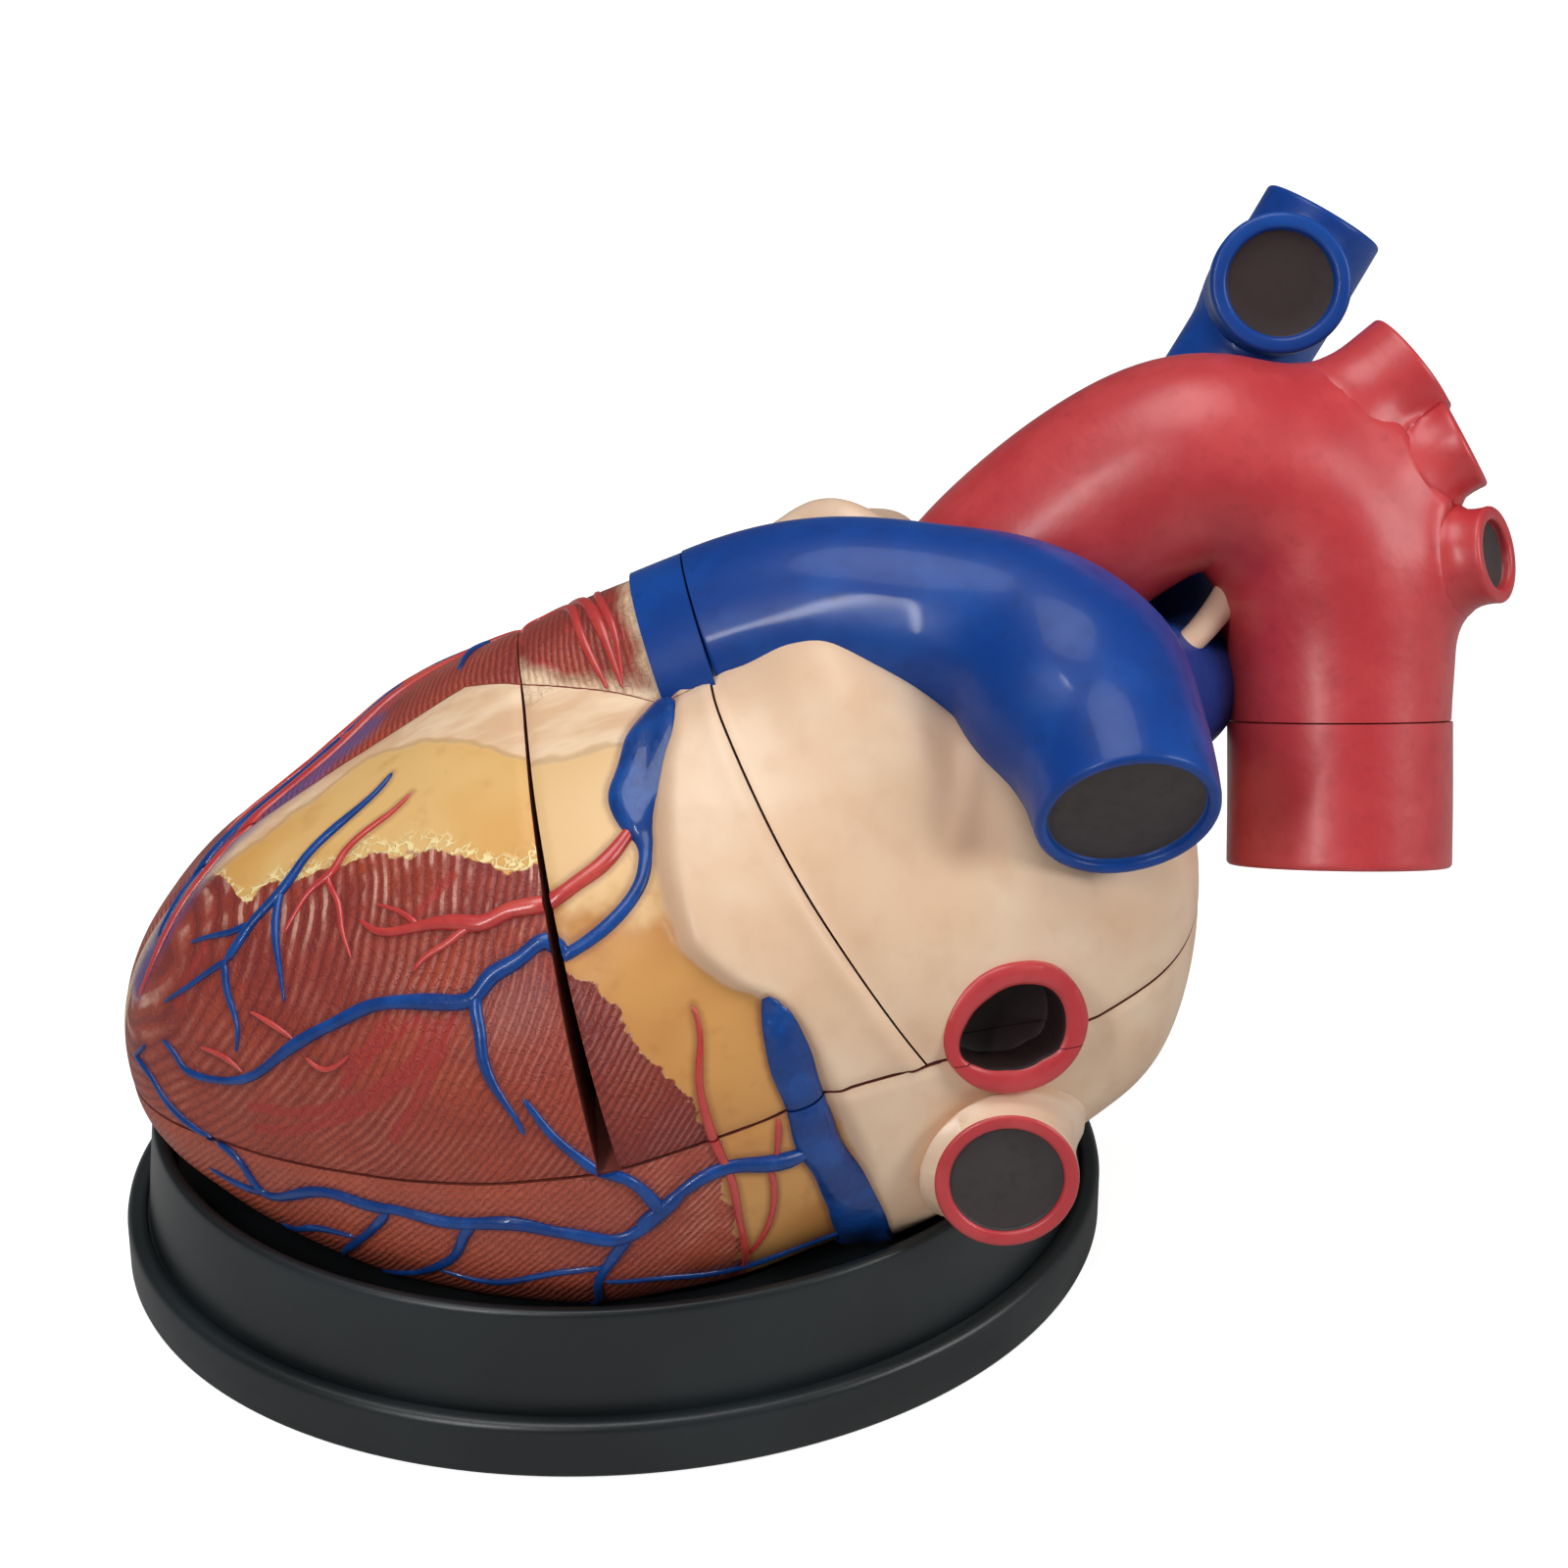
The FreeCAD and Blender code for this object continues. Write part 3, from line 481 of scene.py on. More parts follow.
def shellPiece(name, grid, mark):
    # Closed shell of a grid of points, marked all over.
    rows, columns = grid.shape[:2]
    faces = gridFaces(rows, columns)
    return pieceFrom(name, meshFrom(name, grid, faces, markSlots, np.full(len(faces), mark)))


def prismPiece(outline, low, high, axis, mark=1):
    # A flat outline pushed along an axis: "y" for outlines in x and z, "z" for x and y.
    outline = np.asarray(outline, float)
    count = len(outline)
    ends = [np.insert(outline, 1 if axis == "y" else 2, depth, axis=1) for depth in (low, high)]
    mesh = bpy.data.meshes.new("prism")
    faces = [list(range(count)), list(range(2 * count - 1, count - 1, -1))]
    faces += [[(index + 1) % count, index, count + index, count + (index + 1) % count]
              for index in range(count)]
    mesh.from_pydata((np.concatenate(ends) * mm).tolist(), [], faces)
    turnOutwards(mesh)
    for slot in markSlots:
        mesh.materials.append(slot)
    mesh.polygons.foreach_set("material_index", [mark] * len(mesh.polygons))
    return pieceFrom("prism", mesh)


def halfSpace(normal, offset):
    # Block that fills the side where normal . point is below the offset.
    normal = np.array(normal, float)
    length = np.linalg.norm(normal)
    up = normal / length
    side = np.cross(up, (0, 1.0, 0.2))
    side /= np.linalg.norm(side)
    other = np.cross(up, side)
    corners = np.array([(a * side + b * other) * 450 for a, b in ((-1, -1), (1, -1), (1, 1), (-1, 1))])
    foot = up * offset / length
    piece = prismPiece([(-1, -1), (1, -1), (1, 1), (-1, 1)], 0, 1, "z")
    spots = np.concatenate([foot + corners - up * 600, foot + corners]) * mm
    piece.data.vertices.foreach_set("co", spots.astype(np.float32).ravel())
    turnOutwards(piece.data)
    return piece


def overParting(lift):
    # Everything above the parting line, raised by lift.
    outline = [(x, z + lift) for x, z in cuts["partingLine"]] + [(260, 400), (-220, 400)]
    return prismPiece(outline, -200, 200, "y")


def inFront(shift):
    # Everything in front of the cut between the castings, moved back by shift.
    outline = [(x, y + shift) for x, y in cuts["splitLine"]] + [(260, -260), (-220, -260)]
    return prismPiece(outline, -60, 400, "z")


def trabeculae(angle, height, depth):
    # Wandering ridges that run up the chamber wall, with weaker ones across.
    wander = 1.6 * np.sin(height / 11 + 2 * angle) + 0.9 * np.sin(3 * angle + height / 17)
    along = np.maximum(np.sin(17 * angle + wander), 0) ** 1.6
    across = np.maximum(np.sin(height / 3.4 + 2.4 * np.sin(5 * angle)), 0) ** 3
    return depth * np.maximum(along, 0.65 * across)


def stackedOvals(levels, ridges=0.0, columns=190, step=1.3, lowY=-999, highY=999):
    # Chamber wall: ovals laid over each other, centres and half sizes read smoothly through
    # the levels.  Each point is where a ray from inside the oval meets the oval or the flat
    # septum, whichever is nearer, less the ridges.
    levels = np.array(levels, float)
    z = np.linspace(levels[0, 2], levels[-1, 2], max(int((levels[-1, 2] - levels[0, 2]) / step), 8))
    midX, midY, halfX, halfY = [monotoneCurve(levels[:, 2], levels[:, column])(z)[:, None]
                                for column in (0, 1, 3, 4)]
    angle = (np.arange(columns) * 2 * np.pi / columns)[None]
    z = z[:, None] + 0 * angle
    nearY, farY = np.maximum(lowY, midY - halfY), np.minimum(highY, midY + halfY)
    startY = (nearY + farY) / 2
    wayX, wayY = halfX * np.cos(angle), (farY - nearY) / 2 * np.sin(angle)
    square = (wayX / halfX) ** 2 + (wayY / halfY) ** 2
    single = (startY - midY) * wayY / halfY ** 2
    rest = ((startY - midY) / halfY) ** 2 - 1
    reach = (np.sqrt(single ** 2 - square * rest) - single) / square
    flat = np.where(wayY < 0, lowY - startY, highY - startY) / np.where(np.abs(wayY) < 1e-6, 1e-6, wayY)
    reach = np.minimum(reach, np.where(flat > 0, flat, 1e9))
    if ridges:
        reach -= trabeculae(angle, z, ridges) * smoothStep(2, 16, farY - nearY) / np.hypot(wayX, wayY)
    grid = np.stack([midX + reach * wayX, startY + reach * wayY, z], -1)
    middle = grid[[0, -1]].mean(1)
    return np.concatenate([np.broadcast_to(middle[0], (1, columns, 3)), grid,
                           np.broadcast_to(middle[1], (1, columns, 3))])


def tubeGrid(points, radii, columns=40, spacing=3.0):
    # Closed round tube along a smooth line.
    line, place = smoothPath(points, spacing)
    widths = np.interp(place, range(len(points)), np.broadcast_to(radii, len(points)))
    _, side, up = carriedFrames(line)
    angle = (np.arange(columns) * 2 * np.pi / columns)[None, :, None]
    ring = np.cos(angle) * side[:, None] + np.sin(angle) * up[:, None]
    grid = line[:, None] + widths[:, None, None] * ring
    ends = [np.broadcast_to(line[index], (1, columns, 3)) for index in (0, -1)]
    return np.concatenate([ends[0], grid, ends[1]])


chambers = {
    "ventricleCentre": (-30.0, -3.0), "ventricleHalf": (74.0, 66.0),
    "septumFront": 1.0, "septumBack": 15.0,
    "atriumCentre": (95.0, -10.0), "atriumHalf": (36.0, 46.0),
    "atrialSeptum": (-9.0, -3.0),
    "ridgeDepth": 1.7,
}
ventricleX, ventricleY = chambers["ventricleCentre"]
ventricleHalfX, ventricleHalfY = chambers["ventricleHalf"]


def domeLevels(inset):
    # Levels of the ventricles' roof: ovals that shrink upwards.
    halfX, halfY = ventricleHalfX - inset, ventricleHalfY - inset
    return [(ventricleX + shift, ventricleY, z, halfX * shareX, halfY * shareY)
            for shift, z, shareX, shareY in
            [(0, 56, 1, 1), (0, 92, 0.99, 0.99), (2, 112, 0.90, 0.88), (4, 128, 0.72, 0.68),
             (6, 138, 0.50, 0.46), (7, 143 - inset, 0.28, 0.26), (7, 144 - inset, 0.05, 0.05)]]


bowlLevels = [(ventricleX, ventricleY, z, ventricleHalfX * share, ventricleHalfY * share) for z, share in
              [(33.6, 0.31), (34.4, 0.36), (38, 0.56), (48, 0.78), (62, 0.93), (80, 1), (110, 1)]]
atriumLevels = [(*chambers["atriumCentre"], z, chambers["atriumHalf"][0] * shareX,
                 chambers["atriumHalf"][1] * shareY)
                for z, shareX, shareY in [(59.6, 0.38, 0.38), (60.4, 0.48, 0.48), (66, 0.80, 0.80),
                                          (80, 1, 1), (108, 1, 1), (122, 0.82, 0.80), (129.6, 0.47, 0.44),
                                          (130.4, 0.36, 0.34)]]


def baseHollow():
    # Hollow of the base wall: ovals laid behind each other, with ridges.
    rings = np.array([(16, 10.5, 94, 1, 1), (16, 10, 94, 30, 33), (16, -30, 94, 29, 31),
                      (15, -52, 92, 23, 25), (14, -66, 90, 13, 15), (14, -67, 90, 1, 1)], float)
    y = np.concatenate([np.linspace(10.5, 10, 3), np.linspace(9, -66, 48), np.linspace(-66.3, -67, 4)])
    order = -rings[:, 1]
    x, z, halfX, halfZ = [monotoneCurve(order, rings[:, column])(-y)[:, None] for column in (0, 2, 3, 4)]
    angle = (np.arange(110) * 2 * np.pi / 110)[None]
    ridges = np.maximum(np.sin(11 * angle + 1.5 * np.sin(y[:, None] / 9)), 0) ** 1.5
    shrink = 1.2 * ridges * smoothStep(2, 12, halfX)
    grid = np.stack([x + (halfX - shrink) * np.cos(angle), y[:, None] + 0 * angle,
                     z + (halfZ - shrink) * np.sin(angle)], -1)
    ends = grid[[0, -1]].mean(1)
    return np.concatenate([np.broadcast_to(ends[0], (1, 110, 3)), grid,
                           np.broadcast_to(ends[1], (1, 110, 3))])


# The six castings, each cut from the whole heart.

def carveAll(piece, steps):
    # One cut after the other.
    for tool, way in steps:
        carve(piece, tool, way)
    sharpen(piece)


def leftBowl():
    wall = stackedOvals(bowlLevels, chambers["ridgeDepth"], highY=chambers["septumFront"])
    return shellPiece("tool", wall, 2)


def rightBowl():
    wall = stackedOvals(bowlLevels, chambers["ridgeDepth"], lowY=chambers["septumBack"])
    return shellPiece("tool", wall, 3)


def leftAtrium():
    return shellPiece("tool", stackedOvals(atriumLevels, highY=chambers["atrialSeptum"][0]), 2)


def rightAtrium():
    return shellPiece("tool", stackedOvals(atriumLevels, 0.8, lowY=chambers["atrialSeptum"][1]), 3)


def dome(mark, inset=0.0):
    return shellPiece("tool", stackedOvals(domeLevels(inset), chambers["ridgeDepth"]), mark)


def straightBore(start, end, radius, mark):
    # Round bore between two points.
    return shellPiece("tool", tubeGrid([start, end], radius), mark)


def outflowBore():
    # The channel from the right ventricle up into the pulmonary trunk.
    line = [(-8, 42, 88), (-2, 30, 112), (8, 13, 140), (19, 2, 163.5), (36, -3, 172.5)]
    return shellPiece("tool", tubeGrid(line, [17, 17, 16, 15, 15]), 3)


def atApex(shift):
    # The apex side of the oblique cut between the wall castings and the base wall.
    return halfSpace(cuts["apexNormal"], cuts["apexOffset"] + shift)


def atVessels(shift):
    # The apex side of the cut before the great vessels' block.
    return halfSpace(cuts["vesselNormal"], cuts["vesselOffset"] + shift)


def atRoot(face, shift=0.0):
    # The side before one of the two faces of the pulmonary root ring.
    return halfSpace(cuts["rootNormal"], cuts["rootOffsets"][face] + shift)


gap = cuts["gap"]
# What each casting keeps of the whole heart; the coronary vessels are cut by the same tools.
regions = {
    "lower": lambda: [(overParting(0), "DIFFERENCE")],
    "left": lambda: [(overParting(cuts["partingGap"]), "INTERSECT"),
                     (halfSpace(cuts["taperNormal"], cuts["taperOffset"]), "INTERSECT"),
                     (inFront(-gap), "INTERSECT")],
    "right": lambda: [(overParting(cuts["partingGap"]), "INTERSECT"), (atApex(-gap), "INTERSECT"),
                      (inFront(gap), "DIFFERENCE")],
    "base": lambda: [(overParting(cuts["partingGap"]), "INTERSECT"), (atApex(gap), "DIFFERENCE"),
                     (atVessels(-gap), "INTERSECT"), (inFront(-gap), "INTERSECT")],
    "conus": lambda: [(overParting(0), "INTERSECT"), (atApex(gap), "DIFFERENCE"),
                      (atVessels(-gap), "INTERSECT"), (inFront(gap), "DIFFERENCE")],
    "roof": lambda: [(overParting(cuts["partingGap"]), "INTERSECT"), (atVessels(gap), "DIFFERENCE")],
}
hollows = {
    "lower": lambda: [leftBowl(), rightBowl(), leftAtrium(), rightAtrium(),
                      straightBore((18, -34, 70), (76, -34, 70), 15, 2),
                      straightBore((18, 40, 72), (78, 32, 72), 15, 3)],
    "left": lambda: [dome(2)],
    "right": lambda: [dome(3)],
    "base": lambda: [shellPiece("tool", baseHollow(), 2)],
    "conus": lambda: [outflowBore(), straightBore((4, -30, 99), (66, 9, 130), 13, 2)],
    "roof": lambda: [leftAtrium(), rightAtrium()],
}
castingNames = {"lower": "back_shell", "left": "left_wall_casting", "right": "right_wall_casting",
                "base": "base_wall_casting", "conus": "outflow_casting", "roof": "atria_roof_casting"}

wholeHeart = shellPiece("wholeHeart", skinPoints, 0)
castings = {}
for kind, name in castingNames.items():
    castings[kind] = copyOf(wholeHeart, name)
    carveAll(castings[kind], regions[kind]() + [(tool, "DIFFERENCE") for tool in hollows[kind]()])
discard(wholeHeart)
report("castings cut")


# Paints.

def linearColour(hexValue):
    # sRGB hex to the linear values that the shaders take.
    parts = [int(hexValue[index:index + 2], 16) / 255 for index in (1, 3, 5)]
    return tuple(part / 12.92 if part <= 0.04045 else ((part + 0.055) / 1.055) ** 2.4
                 for part in parts) + (1.0,)


def addNode(tree, kind, settings=None, inputs=None, result=0):
    # Adds one node, sets its fields, fills or links its inputs, and gives back one result.
    # settings is a dictionary of fields or just the operation, inputs go by name or in order.
    node = tree.nodes.new("ShaderNode" + kind)
    if isinstance(settings, str):
        settings = {"operation": settings}
    for field, value in (settings or {}).items():
        setattr(node, field, value)
    for key, value in inputs.items() if isinstance(inputs, dict) else enumerate(inputs or []):
        if isinstance(value, bpy.types.NodeSocket):
            tree.links.new(value, node.inputs[key])
        else:
            node.inputs[key].default_value = value
    return node.outputs[result]


def newMaterial(name, surface):
    # A material with one Principled shader; surface holds its plain settings.
    material = bpy.data.materials.new(name)
    material.use_nodes = True
    tree = material.node_tree
    shader = tree.nodes["Principled BSDF"]
    for key, value in surface.items():
        shader.inputs[key].default_value = value
    return material, tree, shader


def mixColours(tree, share, one, other):
    # One colour going to the other; both are hex values or sockets.
    ends = [linearColour(value) if isinstance(value, str) else value for value in (one, other)]
    return addNode(tree, "Mix", {"data_type": "RGBA"}, {0: share, 6: ends[0], 7: ends[1]}, 2)


def band(tree, value, low, high, most=1.0):
    # Nothing below low, most above high, smooth between; or the other way round.
    return addNode(tree, "MapRange", {"interpolation_type": "SMOOTHSTEP"},
                   {"Value": value, "From Min": low, "From Max": high, "To Max": most})


def noiseOf(tree, place, size, detail=2.0, rough=0.5, stretch=None):
    # Noise whose lumps are size millimetres across, optionally turned and drawn out.
    if stretch:
        place = addNode(tree, "Mapping", None, {"Vector": place, "Rotation": stretch[0], "Scale": stretch[1]})
    return addNode(tree, "TexNoise", None, {"Vector": place, "Scale": 1 / (size * mm), "Detail": detail,
                                            "Roughness": rough}, "Fac")


def wavering(tree, value, noise, reach):
    # The value moved up or down by up to half the reach, as the noise goes.
    swing = addNode(tree, "Math", "SUBTRACT", [noise, 0.5])
    return addNode(tree, "Math", "MULTIPLY_ADD", [swing, reach, value])


def setSurface(tree, shader, colour, height, depth, gloss=None, strength=1.0):
    # Colour, a bump of the given depth in millimetres, and a roughness that follows a pattern
    # between two values.
    tree.links.new(colour, shader.inputs["Base Color"])
    bump = addNode(tree, "Bump", None, {"Height": height, "Distance": depth * mm, "Strength": strength})
    tree.links.new(bump, shader.inputs["Normal"])
    if gloss:
        pattern, smooth, rough = gloss
        roughness = addNode(tree, "MapRange", None, {"Value": pattern, "To Min": smooth, "To Max": rough})
        tree.links.new(roughness, shader.inputs["Roughness"])


resin = {
    "varnish": 0.07,
    "hatchSpacing": 1.7, "hatchBend": (16.0, 3.2),      # bent by the wide and the middle noise, in radians
    "muscle": ("#933A32", "#AE4939", "#BC5335", "#BE543A", "#863231"),
    "hatchPale": "#DCA493", "hatchDark": "#6A2B2B", "strand": "#B33A36",
    "deeper": "#5E1F1C", "fresher": "#C66A50",
    # the first colour on the next line is painted light on the upper part of the fat
    "fatLitTop": "#E6BE88", "fatCurl": "#F8E3A6", "curlSizes": (4.2, 2.9),
    "peach": ("#E0B792", "#F0D2B0", "#C4926F"), "peachEdge": "#A07B5C",
    # the last colour on the next line is painted shade beside the raised vessels
    "ridgeRed": "#C04A55", "ridgeBlue": "#4B5594", "vesselShade": "#6E2F2C",
    # the fold colour on the next line is painted shade along the fold in the cream
    "cream": ("#E4C09F", "#EED2B5", "#D3A27F"), "creamFoldShade": "#B18870", "creamEdge": "#C0926F",
    "bumpDepth": 0.45, "bumpStrength": 0.9, "roughness": (0.36, 0.5),
}


def paintedResin(name, hatchWay, fatTones, curlReach, litAbove=None, hatchLight=1.0, depth=0.0):
    # Hand-painted cast resin under varnish: brown-red muscle with incised slanting hatch lines,
    # ochre fat with a ragged pale edge, peach and cream areas; the varnish gives a soft sheen.
    # Painted shade lies in the cream's fold and beside the raised vessels, and painted light
    # makes the fat paler above a given height.
    # depth takes the muscle towards a deeper red, or below nought towards a fresher one.
    material, tree, shader = newMaterial(name, {"Roughness": 0.5, "Coat Weight": resin["varnish"],
                                                "Coat Roughness": 0.25, "Specular IOR Level": 0.35})
    place = addNode(tree, "TexCoord", result="Object")
    value = {key: addNode(tree, "Attribute", {"attribute_name": key}, result="Fac")
             for key in ("fat", "cream", "peach", "ridgeRed", "ridgeBlue", "strand", "fold", "vessel")}
    wide, middle, fine = noiseOf(tree, place, 38), noiseOf(tree, place, 9, 3), noiseOf(tree, place, 2.2, 3)

    # hatch lines: a sine across their direction that wavers with the noise
    across = addNode(tree, "VectorMath", "DOT_PRODUCT", [place, hatchWay], "Value")
    slow = addNode(tree, "Math", "MULTIPLY", [wide, resin["hatchBend"][0]])
    wave = addNode(tree, "Math", "MULTIPLY_ADD", [across, 2 * math.pi / (resin["hatchSpacing"] * mm), slow])
    wave = addNode(tree, "Math", "MULTIPLY_ADD", [middle, resin["hatchBend"][1], wave])
    hatch = addNode(tree, "Math", "MULTIPLY_ADD", [addNode(tree, "Math", "SINE", [wave]), 0.5, 0.5])
    patch = band(tree, noiseOf(tree, place, 16, 2, 0.5, ((0, 0.9, 0), (0.45, 1, 1))), 0.38, 0.62)
    tones = resin["muscle"]
    muscle = mixColours(tree, addNode(tree, "Math", "MULTIPLY", [hatch, patch]), tones[0], tones[1])
    muscle = mixColours(tree, band(tree, wide, 0.42, 0.66, 0.5), muscle, tones[2])
    muscle = mixColours(tree, band(tree, value["fat"], -26.0, -46.0, 0.45), muscle, tones[3])
    muscle = mixColours(tree, band(tree, middle, 0.5, 0.75, 0.35), muscle, tones[4])
    # hatch lines are palest just below the fat
    underFat = band(tree, value["fat"], -24.0, -8.0)
    light = addNode(tree, "Math", "MULTIPLY_ADD", [underFat, 0.75 * hatchLight, 0.12 * hatchLight])
    light = addNode(tree, "Math", "MULTIPLY", [band(tree, noiseOf(tree, place, 11, 2), 0.42, 0.62), light])
    light = addNode(tree, "Math", "MULTIPLY", [band(tree, hatch, 0.6, 0.95), light])
    muscle = mixColours(tree, light, muscle, resin["hatchPale"])
    muscle = mixColours(tree, band(tree, hatch, 0.25, 0.02, 0.4), muscle, resin["hatchDark"])
    strand = band(tree, wavering(tree, value["strand"], middle, 0.35), 0.35, 0.8, 0.75)
    muscle = mixColours(tree, strand, muscle, resin["strand"])
    muscle = mixColours(tree, abs(depth), muscle, resin["deeper" if depth > 0 else "fresher"])

    ragged = wavering(tree, wavering(tree, value["fat"], middle, 11.0), fine, 2.5)
    ochre = mixColours(tree, band(tree, wide, 0.35, 0.65), *fatTones[:2])
    ochre = mixColours(tree, band(tree, middle, 0.55, 0.75, 0.4), ochre, fatTones[2])
    # painted light: above the given height the fat turns paler, as if lit from above
    if litAbove:
        height = addNode(tree, "SeparateXYZ", None, [place], "Z")
        high = band(tree, wavering(tree, height, middle, 16 * mm), litAbove * mm, (litAbove + 9) * mm)
        ochre = mixColours(tree, high, ochre, resin["fatLitTop"])
    # pale curls of fat along its ragged edge: level lines of two noises
    levels = [addNode(tree, "Math", "SUBTRACT", [noiseOf(tree, place, size, 1.0), 0.5])
              for size in resin["curlSizes"]]
    curls = addNode(tree, "Math", "MINIMUM", [addNode(tree, "Math", "ABSOLUTE", [level]) for level in levels])
    rim = addNode(tree, "Math", "MULTIPLY", [band(tree, ragged, curlReach, curlReach * 0.4),
                                             band(tree, curls, 0.05, 0.025)])
    ochre = mixColours(tree, addNode(tree, "Math", "MULTIPLY", [rim, 0.9]), ochre, resin["fatCurl"])
    colour = mixColours(tree, band(tree, ragged, -0.45, 0.35), muscle, ochre)

    streak = noiseOf(tree, place, 9, 3, 0.6, ((0, 0.35, 0), (0.16, 1, 1)))
    skinTone = mixColours(tree, band(tree, streak, 0.35, 0.62), *resin["peach"][:2])
    skinTone = mixColours(tree, band(tree, streak, 0.6, 0.75, 0.5), skinTone, resin["peach"][2])
    edge = wavering(tree, value["peach"], middle, 6.0)
    colour = mixColours(tree, band(tree, edge, -2.5, 3.0), colour, skinTone)
    line = band(tree, addNode(tree, "Math", "ABSOLUTE", [edge]), 1.6, 0.2, 0.35)
    colour = mixColours(tree, line, colour, resin["peachEdge"])
    for key, ragging, far, near, most in (("ridgeRed", 6.0, 13.0, 5.0, 0.75),
                                          ("ridgeBlue", 5.0, 12.0, 4.5, 0.72)):
        away = addNode(tree, "Math", "MULTIPLY_ADD", [middle, ragging, value[key]])
        colour = mixColours(tree, band(tree, away, far, near, most), colour, resin[key])

    cream = mixColours(tree, band(tree, wide, 0.36, 0.66), *resin["cream"][:2])
    cream = mixColours(tree, band(tree, middle, 0.45, 0.8, 0.25), cream, resin["cream"][2])
    # painted shade along the fold in the cream, darkest on the fold line
    cream = mixColours(tree, band(tree, value["fold"], 13.0, 2.0, 0.55), cream, resin["creamFoldShade"])
    edge = wavering(tree, value["cream"], middle, 3.0)
    cream = mixColours(tree, band(tree, edge, 5.0, 0.0, 0.5), cream, resin["creamEdge"])
    colour = mixColours(tree, band(tree, edge, -0.7, 0.7), colour, cream)
    # painted shade in the crease beside each raised vessel, darkest where the skin meets the vessel
    vesselShade = band(tree, addNode(tree, "Math", "ADD", [fine, value["vessel"]]), 2.6, 0.7, 0.4)
    colour = mixColours(tree, vesselShade, colour, resin["vesselShade"])

    fatAndCream = [band(tree, ragged, -0.5, 0.5), band(tree, value["cream"], -0.7, 0.7)]
    rest = addNode(tree, "Math", "SUBTRACT", [1.0, addNode(tree, "Math", "MAXIMUM", fatAndCream)])
    grooves = addNode(tree, "Math", "MULTIPLY", [addNode(tree, "Math", "MULTIPLY", [hatch, rest]), 0.55])
    height = addNode(tree, "Math", "MULTIPLY_ADD", [middle, 0.5, grooves])
    height = addNode(tree, "Math", "MULTIPLY_ADD", [rim, 0.5, height])
    height = addNode(tree, "Math", "MULTIPLY_ADD", [fine, 0.12, height])
    setSurface(tree, shader, colour, height, resin["bumpDepth"], (fine, *resin["roughness"]),
               resin["bumpStrength"])
    return material


def brushedPaint(name, base, light, dark, surface, size=22, bumpDepth=0.12):
    # Brushed enamel over cast resin: near one colour, with slow drifts where the coat is
    # thicker or thinner and faint brush waves that break up the gloss.
    material, tree, shader = newMaterial(name, surface)
    place = addNode(tree, "TexCoord", result="Object")
    wide, middle = noiseOf(tree, place, size), noiseOf(tree, place, size / 5, 3)
    colour = mixColours(tree, band(tree, wide, 0.4, 0.7, 0.7), base, light)
    colour = mixColours(tree, band(tree, middle, 0.5, 0.8, 0.45), colour, dark)
    brush = noiseOf(tree, place, size / 3, 3, 0.5, ((0.3, 0.6, 0.2), (1, 0.35, 1)))
    waves = addNode(tree, "Math", "MULTIPLY_ADD", [middle, 0.25, brush])
    rough = surface["Roughness"]
    setSurface(tree, shader, colour, waves, bumpDepth, (middle, rough * 0.85, rough * 1.2))
    return material


paleFat, deepFat = ("#DDA75C", "#E6BA78", "#C98F4E"), ("#C4864A", "#D39A58", "#AE713B")
muscleLeft = paintedResin("painted_resin_left_wall", (0.87, 0.10, -0.49), paleFat, 6.5, None, 1.5, depth=0.12)
muscleBase = paintedResin("painted_resin_base_wall", (0.80, 0.10, -0.60), deepFat, 0.1, 136, 0.3, depth=0.38)
muscleLower = paintedResin("painted_resin_lower_half", (0.70, -0.45, -0.70), deepFat, 0.1, None, 0.7,
                           depth=-0.3)
muscleRight = paintedResin("painted_resin_right_wall", (0.80, -0.30, 0.52), paleFat, 5.0, None, 0.6)
enamel = {"Roughness": 0.42, "Coat Weight": 0.15, "Coat Roughness": 0.1, "Specular IOR Level": 0.28}
wetEnamel = {"Roughness": 0.36, "Coat Weight": 0.35, "Coat Roughness": 0.06, "Specular IOR Level": 0.3}
blueEnamel = brushedPaint("blue_enamel", "#093C8C", "#104CA0", "#082F70", enamel)
veinEnamel = brushedPaint("vein_blue_enamel", "#0B3A80", "#1650A0", "#072C64", wetEnamel, 9, 0.3)
redEnamel = brushedPaint("red_enamel", "#BE3439", "#CC4547", "#A7282F",
                         {"Roughness": 0.42, "Coat Weight": 0.3, "Coat Roughness": 0.28}, 18, 0.25)
arteryEnamel = brushedPaint("artery_red_enamel", "#C03A38", "#D25348", "#9E2A2C",
                            {"Roughness": 0.32, "Coat Weight": 0.4, "Coat Roughness": 0.15}, 12, 0.2)
creamPaint = brushedPaint("cream_paint", "#E7C4A6", "#EFD4BA", "#DBB294",
                          {"Roughness": 0.42, "Coat Weight": 0.3, "Coat Roughness": 0.22}, 30)
# Cut faces: flat brush-painted resin, salmon like sliced muscle, low gloss.
cutPaint = brushedPaint("cut_face_paint", "#B5594A", "#C4705C", "#9C453C",
                        {"Roughness": 0.5, "Coat Weight": 0.15, "Coat Roughness": 0.3}, 18, 0.1)
# The base wall's cut faces: near-black brown, painted shade in the deep gap beside the left wall.
shadeCutPaint = brushedPaint("shade_dark_cut_face_paint", "#33130F", "#421C17", "#240D0B",
                            {"Roughness": 0.55, "Coat Weight": 0.1, "Coat Roughness": 0.3}, 18, 0.1)
